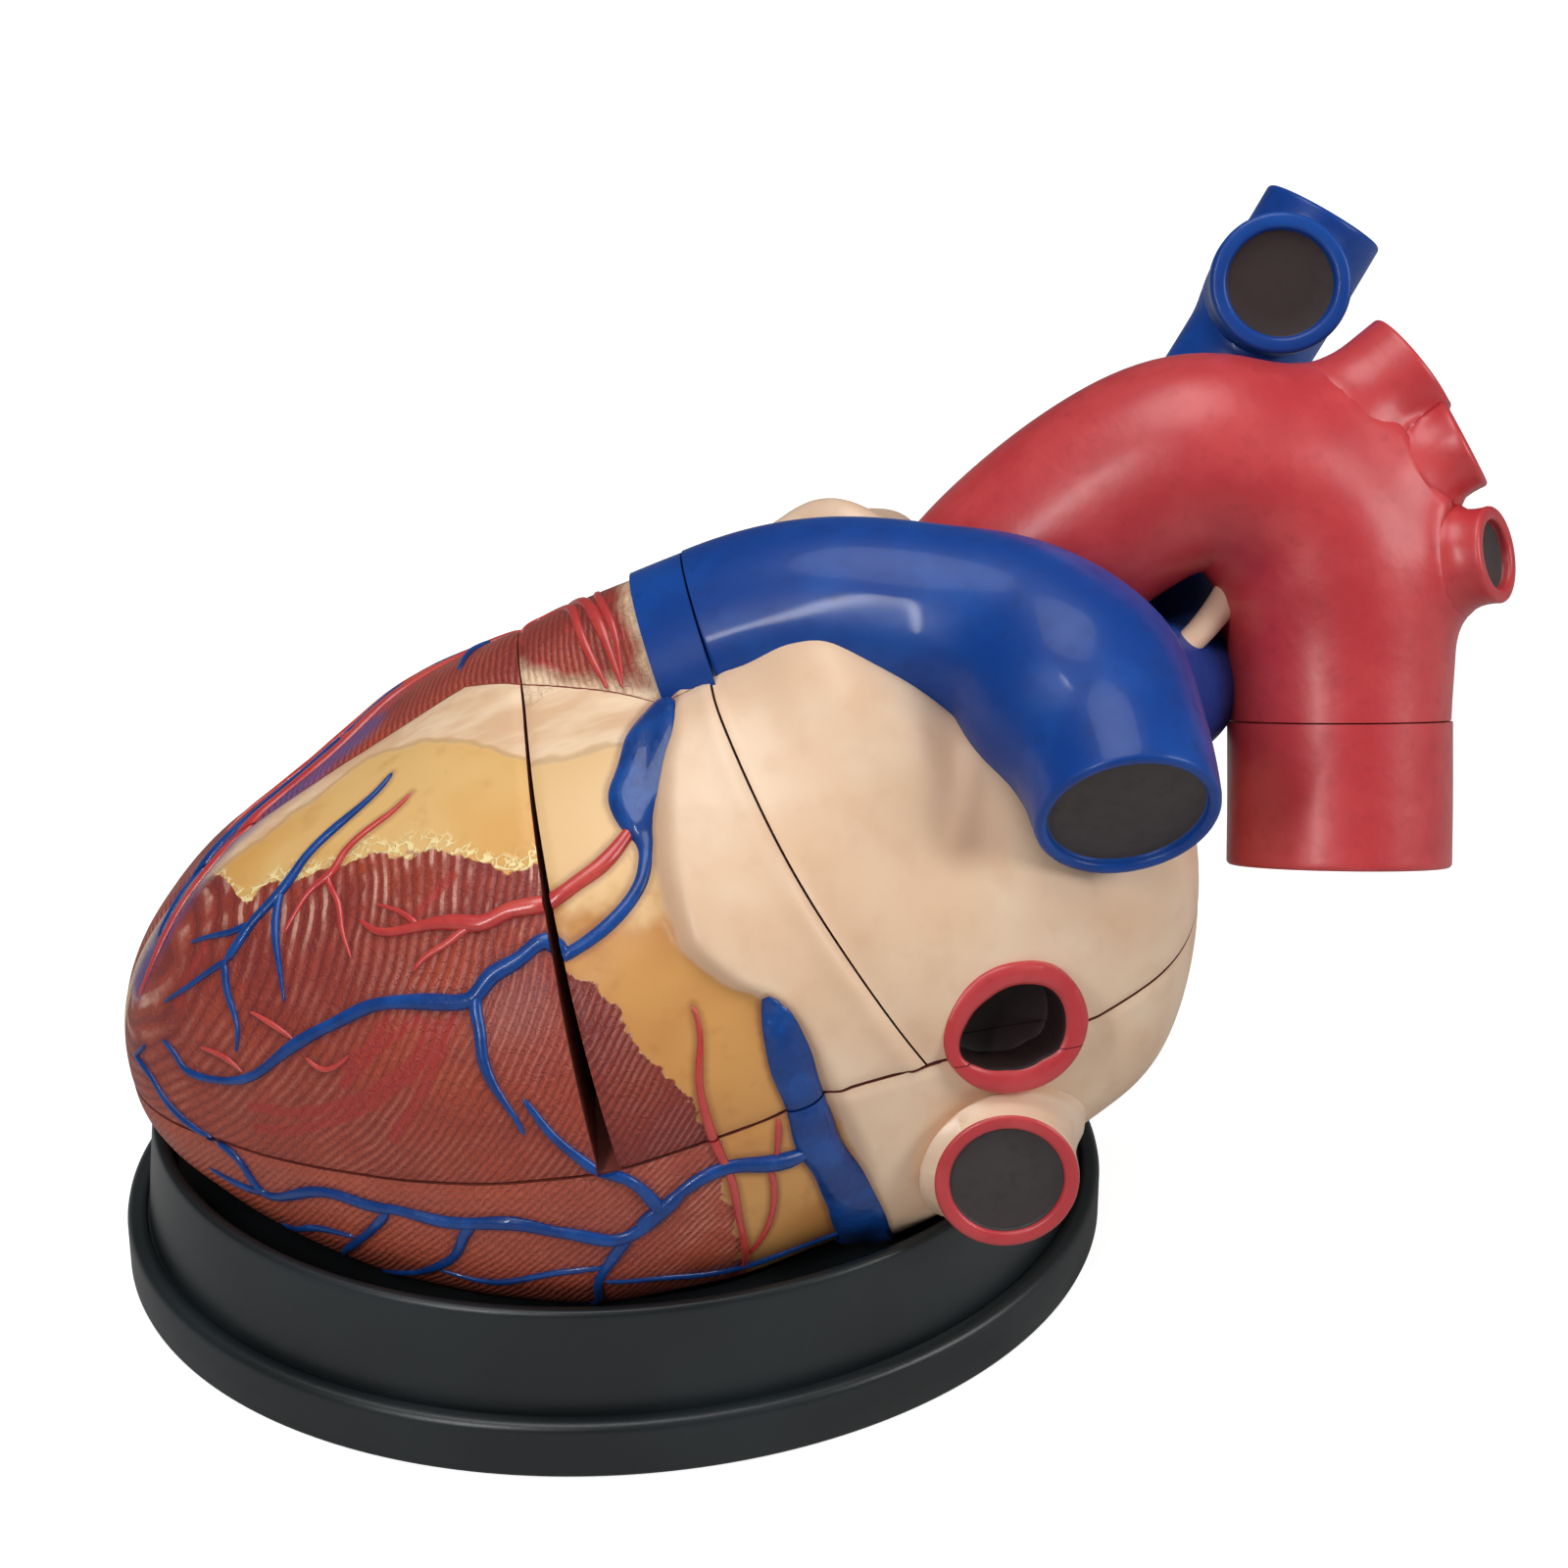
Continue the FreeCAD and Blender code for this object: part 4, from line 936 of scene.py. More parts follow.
# The lower half's cut faces: red-brown cut-face paint, darkened as painted shade so that the parting line
# reads as a dark gap.
lowerCutPaintAndShade = brushedPaint("lower_cut_face_paint_and_shade", "#7E3B33", "#90493E", "#652B27",
                             {"Roughness": 0.55, "Coat Weight": 0.1, "Coat Roughness": 0.3}, 18, 0.1)
creamCutPaint = brushedPaint("atrium_cut_paint", "#D9A88C", "#E4BA9E", "#C48E74",
                             {"Roughness": 0.5, "Coat Weight": 0.15, "Coat Roughness": 0.3}, 18, 0.1)
# Chamber linings: wet-looking varnish over pink on the left and mauve on the right.
leftLining = brushedPaint("left_lining_paint", "#C9796A", "#D99A86", "#A9564C",
                          {"Roughness": 0.35, "Coat Weight": 0.4, "Coat Roughness": 0.15}, 16, 0.2)
rightLining = brushedPaint("right_lining_paint", "#9C6F88", "#B288A0", "#7D5470",
                           {"Roughness": 0.35, "Coat Weight": 0.4, "Coat Roughness": 0.15}, 16, 0.2)
# The cut vessel ends: flat dark grey paint with little sheen.  The near-black maroon is the
# paint of the veins' mouth discs, and also painted shade in the bore of the deep upper vein hole.
flatPaint = {"Roughness": 0.6}
mouthPaint = brushedPaint("vessel_mouth_grey", "#3A3334", "#413A3A", "#2E2929", flatPaint, 16, 0.05)
darkMouthAndShadePaint = brushedPaint("vessel_mouth_maroon_and_shade", "#240F10", "#2C1516", "#1A0A0B", flatPaint, 16, 0.05)
report("materials made")


# Paint on the castings: distances to the painted edges, kept on the points for the resin to read.

noPaint = -30.0             # far below an edge, so that the paint above it stays away
strandWidth = 1.8
outflowSeam = [(-26, 80), (-20, 89), (-12, 94), (-2, 98), (10, 103)]
ridgeRedLine = [(-72, 72), (-60, 67), (-49, 61), (-38, 57), (-24, 56), (-9, 62)]
ridgeBlueLine = [(-119, 96), (-113, 90), (-106, 85), (-99, 81), (-90, 78), (-80, 76), (-69, 74), (-58, 70)]
strandLines = {
    "left": [[(-52, 155), (-56, 159), (-62, 164), (-70, 169), (-79, 174), (-89, 179), (-97, 181)],
             [(-56, 155), (-62, 162), (-72, 168), (-82, 172), (-88, 174), (-98, 174)],
             [(-59, 154), (-65, 157), (-69, 159), (-77, 166)],
             [(-51, 154), (-55, 160), (-59, 166), (-67, 176)],
             [(-66, 154), (-71, 159), (-77, 162)],
             [(-47, 130), (-52, 133), (-58, 137)], [(-103, 118), (-107, 125), (-112, 135)]],
    "conus": [[(-12, 66), (-10, 74), (-7, 86), (-2, 97)], [(-22, 68), (-19, 78), (-14, 90)],
              [(2, 62), (1, 78), (3, 92)], [(-6, 60), (-3, 70), (2, 84)]],
}


def skinLine(line):
    # Points of the finished skin under a list of (x, degrees).
    line = np.array(line, float)
    return onSkin(line[:, 0], np.radians(line[:, 1]))[0]


def paintCasting(piece, kind):
    # Distances in millimetres to the edges of each painted area, kept on the points.
    points = verticesOf(piece)
    x, angle, reach = chart(points)
    degrees = np.degrees(angle)
    arc = np.maximum(reach, 20) * np.pi / 180
    table = {key: monotoneCurve(*np.array(line, float).T) for key, line in paint.items()}
    fat, cream, peach = (x - fatX(degrees)) * 0.85, creamDistance(x, angle), np.full(len(x), noPaint)
    if kind == "left":
        fat = (table["leftFatLow"](x) - degrees) * arc
        peach = (table["leftPeachEdge"](x) - degrees) * arc
    elif kind == "base":
        peach = (table["basePeachEdge"](x) - degrees) * arc
    elif kind == "conus":
        fat = np.full(len(x), noPaint)
        peach = np.maximum(3.0 - lineDistance(points, skinLine(outflowSeam)),
                           2.5 + planeDistance(points, cuts["rootNormal"], cuts["rootOffsets"][0]))
    elif kind == "right":
        beyond = (np.where(degrees > 270, degrees - 360, degrees) - table["rightFatEdge"](x)) * arc
        fat, peach = np.maximum((x - fatX(degrees)) * 0.85, beyond), beyond - 2 * arc
    paintValue(piece, "fat", fat)
    paintValue(piece, "cream", cream)
    paintValue(piece, "peach", peach)
    for key, line in (("ridgeRed", ridgeRedLine), ("ridgeBlue", ridgeBlueLine), ("fold", foldLine)):
        paintValue(piece, key, lineDistance(points, skinLine(line)))
    strand = np.zeros(len(points))
    for line in strandLines.get(kind, []):
        strand = np.maximum(strand, np.exp(-(lineDistance(points, skinLine(line)) / strandWidth) ** 2))
    paintValue(piece, "strand", strand)


def dress(piece, materials):
    # Puts the real materials in the place of the marks.
    slots = piece.data.materials
    for index, material in enumerate(materials):
        if index < len(slots):
            slots[index] = material
        else:
            slots.append(material)


def mountPiece(piece, body, nodes):
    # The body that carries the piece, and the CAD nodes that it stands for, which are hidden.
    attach(piece, body)
    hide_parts(*nodes)


finishes = {
    "lower": (muscleLower, lowerCutPaintAndShade, rootBody, "heart_back_shell", "muscle_paint"),
    "left": (muscleLeft, cutPaint, "left_wall", "left_ventricle_wall", "muscle_paint"),
    "right": (muscleRight, cutPaint, "right_wall", "right_ventricle_wall", "muscle_paint"),
    "base": (muscleBase, shadeCutPaint, "base_wall", "left_base_wall", "muscle_paint"),
    "conus": (muscleRight, cutPaint, rootBody, "conus_block", "muscle_paint"),
    "roof": (muscleLower, creamCutPaint, "great_vessels", "atria_roof", "atrium_paint"),
}
for kind, (skinPaint, facePaint, body, node, slot) in finishes.items():
    paintCasting(castings[kind], kind)
    dress(castings[kind], [skinPaint, facePaint, leftLining, rightLining])
    mountPiece(castings[kind], body, [node])
report("castings painted")


# Coronary vessels: raised on the skin and cut where the castings part.

# Each run follows the heart as (x, degrees) pairs; then half widths at its start, middle and
# end, and for some how far it stands proud as a share of the half width.
coronaryRuns = [
    ("vein", [(-24, 148), (-29, 145), (-35, 147), (-42, 149), (-47, 152), (-53, 152), (-62, 151),
              (-69, 151), (-76, 153), (-82, 155), (-88, 158), (-92, 161), (-97, 165), (-103, 167),
              (-109, 166), (-113, 159), (-116, 149)],
     (2.3, 1.7, 0.7)),
    ("vein", [(-43, 150), (-45, 151), (-46, 157), (-46, 161), (-44, 166), (-40, 171), (-38, 174)],
     (1.8, 1.4, 0.5)),
    ("vein", [(-38, 168), (-36, 170), (-32, 174), (-26, 178), (-20, 181), (-16, 182), (-11, 185), (-8, 188),
              (-6, 190)],
     (0.6, 1.5, 1.8)),
    ("vein", [(-55, 98), (-57, 100), (-64, 104), (-71, 107), (-78, 111), (-83, 116), (-87, 119), (-92, 122),
              (-96, 126), (-100, 130)], (0.5, 1.5, 1.2)),
    ("vein", [(-99, 130), (-101, 130), (-108, 131), (-115, 131)], (1.1, 0.9, 0.4)),
    ("vein", [(-100, 130), (-100, 142), (-99, 150), (-100, 158)], (1.1, 0.9, 0.5)),
    ("vein", [(-93, 122), (-95, 122), (-101, 119), (-107, 114)], (1.0, 0.9, 0.4)),
    ("vein", [(-84, 115), (-87, 124), (-88, 132), (-88, 140), (-88, 147)], (1.2, 1.0, 0.4)),
    ("vein", [(-120, 150), (-122, 160), (-119, 174), (-116, 185), (-112, 190), (-106, 193)], (0.5, 1.1, 1.2)),
    ("artery", [(-52, 107), (-57, 110), (-63, 112), (-70, 116), (-74, 120), (-77, 121), (-82, 125),
                (-86, 130)],
     (0.5, 1.2, 0.5)),
    ("artery", [(-73, 118), (-74, 120), (-73, 127), (-73, 134), (-72, 141)], (0.9, 0.9, 0.4)),
    ("artery", [(-3, 128), (-7, 131), (-14, 135), (-20, 137), (-27, 139), (-36, 139), (-42, 140),
                (-47, 139), (-56, 138), (-65, 137), (-69, 133)], (1.5, 2.3, 0.6)),
    ("artery", [(-42, 140), (-44, 140), (-50, 142), (-56, 144), (-59, 146)], (1.6, 1.1, 0.5)),
    ("artery", [(-56, 138), (-60, 134), (-65, 131)], (0.9, 0.7, 0.4)),
    ("artery", [(-96, 147), (-91, 152), (-87, 156)], (0.4, 0.7, 0.4)),
    ("artery", [(-108, 155), (-103, 159), (-99, 164)], (0.4, 0.7, 0.4)),
    ("artery", [(-85, 160), (-81, 163), (-75, 160)], (0.4, 0.7, 0.4)),
    ("vein", [(-1, 186), (-7, 189), (-13, 192), (-18, 193), (-25, 192), (-33, 191), (-42, 190), (-50, 191),
              (-59, 192), (-67, 192), (-73, 193), (-80, 193), (-88, 197), (-96, 204), (-99, 200),
              (-103, 194), (-106, 193)],
     (2.0, 1.7, 1.1)),
    ("vein", [(-95, 203), (-102, 208), (-108, 210)], (1.2, 1.0, 0.5)),
    ("vein", [(-69, 193), (-70, 195), (-75, 205), (-78, 217), (-76, 228)], (1.3, 1.1, 0.6)),
    ("vein", [(-92, 220), (-90, 218), (-83, 207), (-76, 205)], (0.5, 1.0, 0.8)),
    ("vein", [(-50, 191), (-51, 192), (-54, 199), (-58, 205), (-62, 211), (-67, 218), (-68, 230)],
     (1.4, 1.2, 0.6)),
    ("vein", [(-14, 192), (-15, 193), (-19, 198), (-21, 202), (-20, 212), (-24, 224)], (1.5, 1.3, 0.6)),
    ("vein", [(-20, 199), (-33, 201), (-48, 206), (-58, 206)], (0.9, 1.0, 0.6)),
    ("vein", [(44, 211), (34, 211), (21, 210), (8, 209), (-2, 206), (-12, 204), (-20, 203)], (0.8, 1.1, 0.6)),
    ("vein", [(30, 186), (27, 186), (18, 185), (9, 184), (2, 185), (-6, 188), (-13, 191)], (2.6, 1.9, 1.7)),
    ("artery", [(3, 158), (4, 161), (3, 169), (4, 174), (6, 179), (10, 186), (12, 193), (15, 203), (16, 214)],
     (0.5, 1.1, 0.7)),
    ("artery", [(18, 184), (20, 187), (21, 193), (20, 198), (16, 205)], (0.5, 0.9, 0.6)),
    ("artery", [(22, 178), (22, 180), (21, 186)], (0.4, 0.8, 0.5)),
    # along the groove between the ventricles, at the top outline
    ("artery", [(10, 60), (-2, 60), (-14, 62), (-26, 62), (-38, 60), (-49, 60), (-60, 66), (-72, 71),
                (-84, 75), (-96, 82), (-106, 88), (-114, 98), (-120, 112)], (1.6, 2.2, 0.8), 0.45),
    ("vein", [(-22, 54), (-34, 51), (-46, 53), (-58, 61), (-69, 66), (-82, 70), (-95, 73), (-106, 80),
              (-114, 90)],
     (1.6, 2.2, 1.0), 0.45),
    ("vein", [(-34, 75.5), (-30, 69), (-25, 64), (-17, 58)], (0.6, 1.2, 0.8)),
    ("artery", [(-36, 60), (-52, 48), (-64, 44), (-78, 46)], (1.3, 1.1, 0.5)),
    ("artery", [(-60, 66), (-72, 60), (-84, 60), (-94, 66)], (1.2, 1.0, 0.5)),
    ("artery", [(-2, 98), (-4.6, 92), (-6, 84), (-6.4, 77), (-12, 71), (-18, 75)], (0.5, 1.3, 0.6), 0.6),
    ("artery", [(1.4, 99), (-0.5, 92), (-2, 84), (-4, 74), (-8, 66)], (0.5, 1.5, 1.0), 0.6),
    ("artery", [(1.6, 98), (1.6, 91), (0.5, 82), (4, 70)], (0.4, 1.1, 0.5), 0.6),
    # the groove between right auricle and right ventricle, and its branches
    ("artery", [(33, 74), (30, 62), (28, 48), (26, 30), (24, 12), (22, -8), (20, -30), (22, -52)],
     (2.6, 2.4, 1.6)),
    ("artery", [(28, 50), (8, 42), (-14, 38), (-36, 34), (-58, 34)], (1.6, 1.4, 0.5)),
    ("artery", [(25, 22), (4, 14), (-20, 10), (-46, 8), (-74, 12), (-92, 20)], (1.9, 1.6, 0.6)),
    ("artery", [(-20, 10), (-34, 2), (-52, -4), (-66, -6)], (1.1, 1.0, 0.5)),
    ("artery", [(22, -8), (4, -14), (-20, -20), (-42, -24)], (1.4, 1.2, 0.5)),
    ("vein", [(30, 26), (29, 8), (27, -10), (26, -32), (28, -54)], (1.2, 1.9, 2.2)),
    ("vein", [(28, 16), (8, 7), (-16, 3), (-42, 0), (-66, 3), (-84, 10)], (1.6, 1.4, 0.5)),
    ("vein", [(27, -18), (10, -24), (-12, -30), (-34, -34)], (1.4, 1.2, 0.5)),
    ("artery", [(4, 55), (-12, 50), (-28, 44)], (0.9, 0.8, 0.4)),
]
# Wide veins given by both edges: the great cardiac vein in the groove and the coronary sinus.
wideVeins = [
    ([(7.1, 103.1), (4.4, 105.8), (1.5, 108.7), (-1.6, 111.9), (-4.1, 116), (-6.2, 119.3), (-8.2, 122.3),
     (-8.2, 125.2), (-6.5, 128.8), (-4.6, 131.3), (-4, 134.3), (-5.5, 137.5), (-8.8, 140.4), (-14.6, 143.5),
     (-21.5, 145.9), (-26.4, 147)],
     [(14.5, 105), (12.6, 107.9), (10.5, 111), (8, 115), (5.8, 118.3), (3.9, 121.5), (2.4, 124.5), (1.5,
     127), (0.6, 130), (-0.1, 131.9), (-1.5, 135.3), (-3.3, 138.7), (-6.8, 141.8), (-13.2, 145.1), (-20.1,
     147.5), (-25.6, 149.1)]),
    ([(19.5, 158.5), (19, 164.2), (21.1, 171), (24.1, 177.3), (26.5, 184), (31.3, 190), (34.7, 197),
      (38, 205), (40, 211), (42, 221)],
     [(22, 158.5), (28, 164.6), (31.3, 170.8), (34.2, 177.4), (37.6, 185), (41, 191.5), (46, 198),
      (50.5, 206), (53.5, 212), (57, 222)]),
]


def vesselOnSkin(line, widths, high=0.85, tallest=2.1, wobble=0.06, blunt=False):
    # A tube half sunk in the skin.  line is (x, degrees); widths are half widths along it.
    spread = np.array(line, float) * (1.0, 1.5)
    path, place = smoothPath(spread, 1.0)
    x, angle = path[:, 0], np.radians(path[:, 1] / 1.5)
    spots, normals = onSkin(x, angle)
    run = np.r_[0, np.cumsum(np.linalg.norm(np.diff(spots, axis=0), axis=1))]
    half = monotoneCurve(np.linspace(0, len(line) - 1, len(widths)), widths)(place)
    half = half * (1 + wobble * np.sin(run / 3.1 + x[0]) + wobble * np.sin(run / 7.3 + x[-1]))
    ends = np.minimum(run, run[-1] - run) / np.maximum(half * (1.0 if blunt else 2.5), 1.0)
    half = half * np.sqrt(np.clip(ends, 0.001, 1) * (2 - np.clip(ends, 0, 1)))
    along = unit(np.gradient(spots, axis=0))
    sideways = unit(np.cross(along, normals))
    turn = (np.arange(14) * 2 * np.pi / 14)[None, :, None]
    over = spots[:, None] + half[:, None, None] * np.cos(turn) * sideways[:, None]
    seenX, seenAngle, _ = chart(over)
    base, normal = onSkin(seenX.ravel(), seenAngle.ravel())
    flatter = np.where(np.sin(turn) > 0, 1.0, 0.7)         # on the buried side
    rise = np.minimum(half * high, tallest)[:, None, None] * flatter * np.sin(turn)
    grid = base.reshape(over.shape) + normal.reshape(over.shape) * rise
    closed = np.concatenate([np.broadcast_to(spots[0], (1, 14, 3)), grid,
                             np.broadcast_to(spots[-1], (1, 14, 3))])
    faces = gridFaces(*closed.shape[:2])
    return pieceFrom("run", meshFrom("run", closed, faces)), spots, half


def inRegion(points):
    # Name of the region that each point lies in.
    upper = points[:, 2] > partingHeight(points[:, 0])
    front = points[:, 1] < splitDepth(points[:, 0])
    beyond = planeDistance(points, cuts["vesselNormal"], cuts["vesselOffset"]) > 0
    before = planeDistance(points, cuts["apexNormal"], cuts["apexOffset"]) < 0
    return np.select([~upper, beyond, before & front, before, front],
                     ["lower", "roof", "left", "right", "base"], "conus")


def joinPieces(name, pieces, materials):
    # Several pieces made one.
    work = bmesh.new()
    for piece in pieces:
        work.from_mesh(piece.data)
        discard(piece)
    mesh = bpy.data.meshes.new(name)
    work.to_mesh(mesh)
    work.free()
    for material in materials:
        mesh.materials.append(material)
    joined = pieceFrom(name, mesh)
    sharpen(joined)
    return joined


coronary = [(kind, *vesselOnSkin(line, widths, *high)) for kind, line, widths, *high in coronaryRuns]
for left, right in wideVeins:
    left, right = np.array(left, float), np.array(right, float)
    halves = np.linalg.norm(plainPoint(*left.T) - plainPoint(*right.T), axis=1) / 2
    run = vesselOnSkin((left + right) / 2, np.maximum(halves, 1.6), 0.7, 2.6, 0.03, True)
    coronary.append(("vein", *run))
shares = {}
for kind, run, spots, _ in coronary:
    for name in np.unique(inRegion(spots)):
        share = copyOf(run, "share")
        for tool, way in regions[str(name)]():
            carve(share, tool, way)
        if len(share.data.vertices) > 20:           # fewer are only a sliver
            shares.setdefault((str(name), kind), []).append(share)
        else:
            discard(share)
    discard(run)
for (name, kind), pieces in shares.items():
    vessel = joinPieces(name + "_coronary_" + ("veins" if kind == "vein" else "arteries"), pieces,
                        [veinEnamel if kind == "vein" else arteryEnamel])
    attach(vessel, finishes[name][2])
for piece in castings.values():
    # how far each point is from the nearest vessel, for the painted shade beside it
    points = verticesOf(piece)
    nearest = np.full(len(points), 20.0)
    for _, _, spots, half in coronary:
        close = np.all((points > spots.min(0) - 8) & (points < spots.max(0) + 8), axis=1)
        if close.any():
            nearest[close] = np.minimum(nearest[close], tubeField(points[close], spots[::3], half[::3]))
    paintValue(piece, "vessel", nearest)
report("coronary vessels made")


# Great vessels: swept tubes that run into each other with a fillet.

def vesselRows(points, radii, mouth=None, spacing=2.2, columns=88, endWay=None):
    # Swept vessel as rows of rings with a mark for the band after each row: 0 wall, 1 rim,
    # 2 bore, 3 disc.  A mouth is (bore, depth, rounding) at the end of the line.
    line, place = smoothPath(points, spacing)
    widths = monotoneCurve(np.arange(len(points)), radii)(place)
    along, side, up = carriedFrames(line)
    rows = [[line[i], side[i], up[i], widths[i], 0] for i in range(len(line))]

    def mouthRows(centre, way, sideWay, upWay, width, bore, depth, rounding):
        quarter = np.radians([0, 22, 45, 68, 90])
        made = [[centre - way * rounding * (1 - np.sin(a)), sideWay, upWay,
                 width - rounding * (1 - np.cos(a)), 0]
                for a in quarter]
        made[-1][4] = 1
        made += [[centre - way * rounding * (1 - np.cos(a)), sideWay, upWay,
                  bore + rounding * (1 - np.sin(a)), 1]
                 for a in quarter]
        made[-1][4] = 2
        steps = [(depth - 0.5, 1.0, 2), (depth - 0.15, 0.985, 3), (depth, 0.96, 3), (depth, 0.6, 3),
                 (depth, 0.25, 3)]
        made += [[centre - way * down, sideWay, upWay, bore * share, mark] for down, share, mark in steps]
        return made + [[centre - way * depth, sideWay, upWay, 0.0, 3]]

    if mouth:
        bore, depth, rounding = mouth
        way = unit(np.array(endWay, float)) if endWay is not None else along[-1]
        sideWay = unit(side[-1] - way * (side[-1] @ way))
        kept = [row for row in rows if (line[-1] - row[0]) @ way > rounding + 0.8]
        rows = kept + mouthRows(line[-1], way, sideWay, np.cross(way, sideWay), widths[-1], bore, depth,
                                rounding)
    else:
        rows = rows + [rows[-1][:3] + [0.0, 0]]
    rows = [rows[0][:3] + [0.0, 0]] + rows
    centres, sides, ups, sizes, marks = [np.array([row[k] for row in rows]) for k in range(5)]
    turn = (np.arange(columns) * 2 * np.pi / columns)[None, :, None]
    rings = np.cos(turn) * sides[:, None] + np.sin(turn) * ups[:, None]
    return centres[:, None] + sizes[:, None, None] * rings, marks[:-1].astype(int), (line, widths)


def mergedWith(points, own, others, width=10.0, sink=0.3):
    # Moves wall points onto the smooth union of their own shape and the others, so that one
    # part runs into the next with a fillet; points inside the others sink below it.
    flat = points.reshape(-1, 3).copy()
    first = np.minimum.reduce([other(flat) for other in others])
    active = (first > -0.6 * width) & (first < 1.1 * width) & (np.abs(own(flat)) < 2.5)
    spots, target = flat[active], np.minimum(0, sink * first[active])
    target = target + np.clip(own(spots), -2.5, 2.5)

    def field(where):
        value = own(where)
        for other in others:
            value = drawnTogether(value, other(where), width)
        return value

    for _ in range(4):
        value = field(spots) - target
        slope = np.stack([(field(spots + way) - field(spots - way)) / 0.8 for way in np.eye(3) * 0.4], -1)
        length = np.maximum((slope ** 2).sum(-1), 0.2)
        spots -= np.clip(value / length, -3, 3)[:, None] * slope
    flat[active] = spots
    return flat.reshape(points.shape)


def vesselPiece(name, grid, marks):
    # Vessel of rows of rings, each row of faces with its mark.
    faces = gridFaces(*grid.shape[:2])
    piece = pieceFrom(name, meshFrom(name, grid, faces, markSlots, np.repeat(marks, grid.shape[1])))
    sharpen(piece, 50)
    return piece


def fieldOf(tube):
    # Distance outside a swept vessel, its line thinned out to be quick.
    line, widths = tube
    step = max(1, len(line) // 26)
    keep = sorted(set(range(0, len(line), step)) | {len(line) - 1})
    return lambda points: tubeField(points, line[keep], widths[keep])


vessels = {
    "aortic_arch": ([(66.8, 8.6, 129.7), (87.1, 10.3, 146.5), (99.9, 11.5, 164.3), (113.7, 12.5, 177.7),
                     (133.4, 12.2, 192), (154, 9.7, 199.6), (173.5, 5.3, 191.2), (184.9, -2.3, 174.3),
                     (185.7, -11.8, 154.1), (183.7, -20.6, 138.3), (181.6, -29.6, 120.4)],
                    [27, 27, 27, 27, 27, 27, 28.2, 30.2, 29, 27.9, 27.6], None),
    "descending_aorta_collar": ([(184.8, -15.5, 148.3), (183.7, -20.6, 138.3), (182, -28.8, 122.1),
                                 (180, -37.1, 105.9)], [28.3] * 4,
                                (23.5, 24.0, 1.2)),
    "brachiocephalic_artery": ([(170, 6, 190), (190, 11, 205), (210, 14.5, 218.6)], [16, 14.6, 14.6],
                               (11.4, 2.6, 1.2)),
    "left_carotid_artery": ([(180, 2, 183), (199, 0, 193), (218.7, -2.7, 204)], [14, 11, 12], (9, 2.6, 1.1)),
    "left_subclavian_artery": ([(184, -3, 165), (201, -10.5, 173.5), (220.8, -24, 183)], [19, 10, 12.2],
                               (8.7, 2.6, 1.0)),
    "pulmonary_trunk": ([(10, 3, 158.5), (19, 2, 163.5), (53, -8, 177.5), (76, -18.5, 178),
                         (94.6, -30.6, 176), (105, -48.5, 170.5), (109.5, -68, 162.5), (109, -84, 156)],
                        [24, 24, 23.5, 24, 26, 28.2, 24, 22.4], (19.3, 2.6, 1.3)),
    "right_pulmonary_artery": ([(98, -38, 170), (112, -34, 165), (125, -25, 157), (138, -12, 147.5),
                                (150, 6, 143), (160, 38, 148)], [13, 15.5, 17.5, 18, 16.5, 15],
                               (11, 2.6, 1.2)),
    "superior_vena_cava": ([(108, 34, 100), (124, 36, 118), (140.4, 41.5, 151.5), (169.5, 57, 188.7),
                            (205.5, 74, 234.5)],
                           [16.6] * 5, (13.6, 2.6, 1.2)),
    "left_brachiocephalic_vein": ([(189, 69, 216), (185.5, 53, 225), (183.2, 43.5, 230.2), (182, 38, 233.3)],
                                  [15.5, 16.6, 17.9, 18], (13.7, 2.6, 1.3)),
}
grids = {name: vesselRows(*details) for name, details in vessels.items()}
fields = {name: fieldOf(grid[2]) for name, grid in grids.items()}
archSet = ["aortic_arch", "brachiocephalic_artery", "left_carotid_artery", "left_subclavian_artery"]
branches = archSet[1:]
# what each vessel runs into, and how wide the fillet is
mergers = {"aortic_arch": [([fields[name] for name in branches], 13.0)]}
for name in branches:
    others = [fields[other] for other in branches if other != name]
    mergers[name] = [([fields["aortic_arch"]], 13.0), (others, 4.0)]
mergers["pulmonary_trunk"] = [([fields["right_pulmonary_artery"]], 12.0)]
mergers["right_pulmonary_artery"] = [([fields["pulmonary_trunk"]], 12.0)]
mergers["superior_vena_cava"] = [([heartField], 12.0), ([fields["left_brachiocephalic_vein"]], 5.0)]
mergers["left_brachiocephalic_vein"] = [([fields["superior_vena_cava"]], 5.0)]
looks = {name: ([redEnamel, redEnamel, redEnamel, mouthPaint], "arterial_red_paint") for name in archSet}
looks["descending_aorta_collar"] = ([redEnamel] * 4, "arterial_red_paint")
for name in ("pulmonary_trunk", "right_pulmonary_artery"):
    looks[name] = ([blueEnamel, blueEnamel, blueEnamel, mouthPaint], "venous_blue_paint")
for name in ("superior_vena_cava", "left_brachiocephalic_vein"):
    looks[name] = ([blueEnamel, blueEnamel, blueEnamel, darkMouthAndShadePaint], "venous_blue_paint")
